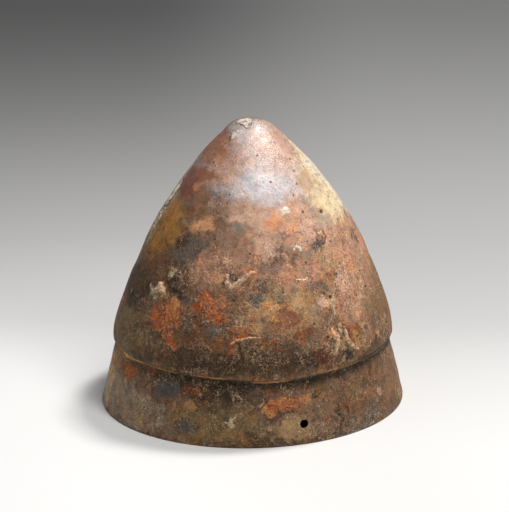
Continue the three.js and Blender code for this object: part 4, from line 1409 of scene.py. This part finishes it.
def cuprite_finish():
    """Grainy orange copper corrosion, broken by dark cracks, pale curls and the patina round it."""
    f = Finish("orange_cuprite")
    patina = f.group("patina")
    tone = f.noise(f.place, 3.4, 8.0, 0.72).outputs["Fac"]
    orange = f.mix(paint("86391a"), paint("d27838"), f.rise(tone, 0.42, 0.6))
    colour = f.mix(patina["Colour"], orange, f.fit(tone, 0.4, 0.5, 0.0, 0.65))
    curls = f.threads(3.4, 0.028, (2.0, 6.0, 1.0))
    cracks = f.threads(4.2, 0.022, (5.0, 3.0, 8.0))
    colour = f.lay(colour, "2e1610", cracks, 0.8)
    colour = f.lay(colour, "e8a878", f.math("MULTIPLY", curls, f.rise(tone, 0.4, 0.48)), 0.85)
    grain = f.noise(f.place, 0.9, 5.0, 0.7).outputs["Fac"]
    colour = f.shade(colour, grain, 0.34, 0.66, 0.7, 1.3)
    return f.done(colour, 0.75, 0.0, f.total((grain, 0.3), (tone, 0.8), (curls, 0.2), (cracks, -0.25)))


# Floor, light and camera.


FLOOR_REACH = 4.0
# The tone with which the floor lights the helmet, kept below the white that is seen.
FLOOR_BOUNCE = "a8a49e"
# Over this far to each side of the helmet, in metres, its left tones turn into its right ones.
FLOOR_BLEND = 0.13

# How light the floor is so many metres behind the helmet, on the left and on the right. The values
# are rounded from readings of the photo's backdrop.
LEFT_GRADE = [(-0.1, 0.8), (0.05, 0.8), (0.15, 0.58), (0.35, 0.42), (0.7, 0.22), (1.1, 0.11)]
RIGHT_GRADE = [(-0.1, 0.72), (0.05, 0.62), (0.15, 0.48), (0.35, 0.41), (0.7, 0.33), (1.1, 0.25)]


def floor_grade(nodes, behind, grade):
    """The floor's grey so far behind the helmet, read smoothly from a grade."""
    start, end = grade[0][0], grade[-1][0]
    along = nodes.math("DIVIDE", nodes.math("SUBTRACT", behind, start), end - start)
    node = nodes.put("ShaderNodeValToRGB", {0: along})
    ramp = node.color_ramp
    ramp.interpolation = "B_SPLINE"
    while len(ramp.elements) < len(grade):
        ramp.elements.new(0.5)
    for element, (at, level) in zip(ramp.elements, grade):
        element.position = (at - start) / (end - start)
        element.color = (level, level, level, 1.0)
    return node.outputs["Color"]


def build_floor():
    """A wide pale floor, white round the helmet and graded to grey far behind it.

    Only rays from the camera or off a shiny face see the grade.
    """
    bm = bmesh.new()
    bmesh.ops.create_grid(bm, x_segments=1, y_segments=1, size=FLOOR_REACH)
    mesh = bpy.data.meshes.new("floor")
    bm.to_mesh(mesh)
    bm.free()
    floor = bpy.data.objects.new("floor", mesh)
    bpy.context.scene.collection.objects.link(floor)
    floor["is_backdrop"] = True

    material = bpy.data.materials.new("graded_floor")
    material.use_nodes = True
    nodes = Nodes(material.node_tree)
    shader = nodes.tree.nodes["Principled BSDF"]
    shader.inputs["Roughness"].default_value = 0.95
    shader.inputs["Specular IOR Level"].default_value = 0.1
    place = nodes.put("ShaderNodeTexCoord").outputs["Object"]
    turn = math.radians(CAMERA_AZIMUTH)
    behind = nodes.vector("DOT_PRODUCT", place, (-math.cos(turn), -math.sin(turn), 0.0))
    right = nodes.vector("DOT_PRODUCT", place, (-math.sin(turn), math.cos(turn), 0.0))
    left_grey = floor_grade(nodes, behind, LEFT_GRADE)
    right_grey = floor_grade(nodes, behind, RIGHT_GRADE)
    colour = nodes.mix(left_grey, right_grey, nodes.rise(right, -FLOOR_BLEND, FLOOR_BLEND))
    ray = nodes.put("ShaderNodeLightPath").outputs
    seen = nodes.math("MAXIMUM", ray["Is Camera Ray"], ray["Is Glossy Ray"])
    seen = nodes.math("MAXIMUM", seen, ray["Is Transmission Ray"])
    nodes.give(shader.inputs["Base Color"], nodes.mix(paint(FLOOR_BOUNCE), colour, seen))
    mesh.materials.append(material)


# Each softbox: azimuth, elevation, distance, width and height in metres, and watts.
SOFTBOXES = {
    "overhead_softbox": (16, 57, 1.35, (0.35, 1.4), 12.5),
    "rear_softbox": (98, 66, 1.4, (0.25, 0.25), 15),
}
LAMP_TINT = (1.0, 0.98, 0.95)
AIR_TINT = (0.80, 0.81, 0.83, 1.0)
AIR_STRENGTH = 0.36


def add_softbox(name, azimuth, elevation, distance, size, watts):
    """A softbox that looks at the middle of the helmet."""
    turn, tip = math.radians(azimuth), math.radians(elevation)
    way = Vector((math.cos(turn) * math.cos(tip), math.sin(turn) * math.cos(tip), math.sin(tip)))
    light = bpy.data.lights.new(name, "AREA")
    light.shape = "RECTANGLE"
    light.size, light.size_y = size
    light.energy = watts
    light.color = LAMP_TINT
    lamp = bpy.data.objects.new(name, light)
    lamp.location = CAMERA_TARGET * MM + way * distance
    lamp.rotation_euler = (-way).to_track_quat("-Z", "Y").to_euler()
    bpy.context.scene.collection.objects.link(lamp)


def light_scene():
    """Two softboxes in pale air, shown without any grading."""
    world = bpy.data.worlds.new("studio_air")
    bpy.context.scene.world = world
    world.use_nodes = True
    air = world.node_tree.nodes["Background"]
    air.inputs["Color"].default_value = AIR_TINT
    air.inputs["Strength"].default_value = AIR_STRENGTH
    for name, setting in SOFTBOXES.items():
        add_softbox(name, *setting)
    bpy.context.scene.view_settings.view_transform = "Standard"


def place_camera():
    """A long lens where the photograph was taken from."""
    camera = bpy.data.objects.new("camera", bpy.data.cameras.new("camera"))
    camera.data.sensor_fit = "VERTICAL"
    camera.data.sensor_height = 36.0
    camera.data.lens = CAMERA_LENS
    turn = math.radians(CAMERA_AZIMUTH)
    reach = Vector((math.cos(turn), math.sin(turn), 0)) * CAMERA_REACH
    camera.location = (reach + Vector((0, 0, CAMERA_HEIGHT))) * MM
    looking = CAMERA_TARGET * MM - camera.location
    camera.rotation_euler = looking.to_track_quat("-Z", "Y").to_euler()
    bpy.context.scene.collection.objects.link(camera)
    bpy.context.scene.camera = camera


place_camera()
build_sheet(skin_finish(), inside_finish())
finishes = {"lime": lime_finish(), "scab": scab_finish(), "cuprite": cuprite_finish()}
build_patch_crusts(finishes)
build_line_crusts(finishes["lime"])
build_floor()
light_scene()

boxes = {"cad": cad_box, "visual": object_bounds()}
{name: [list(corner) for corner in box] for name, box in boxes.items()}
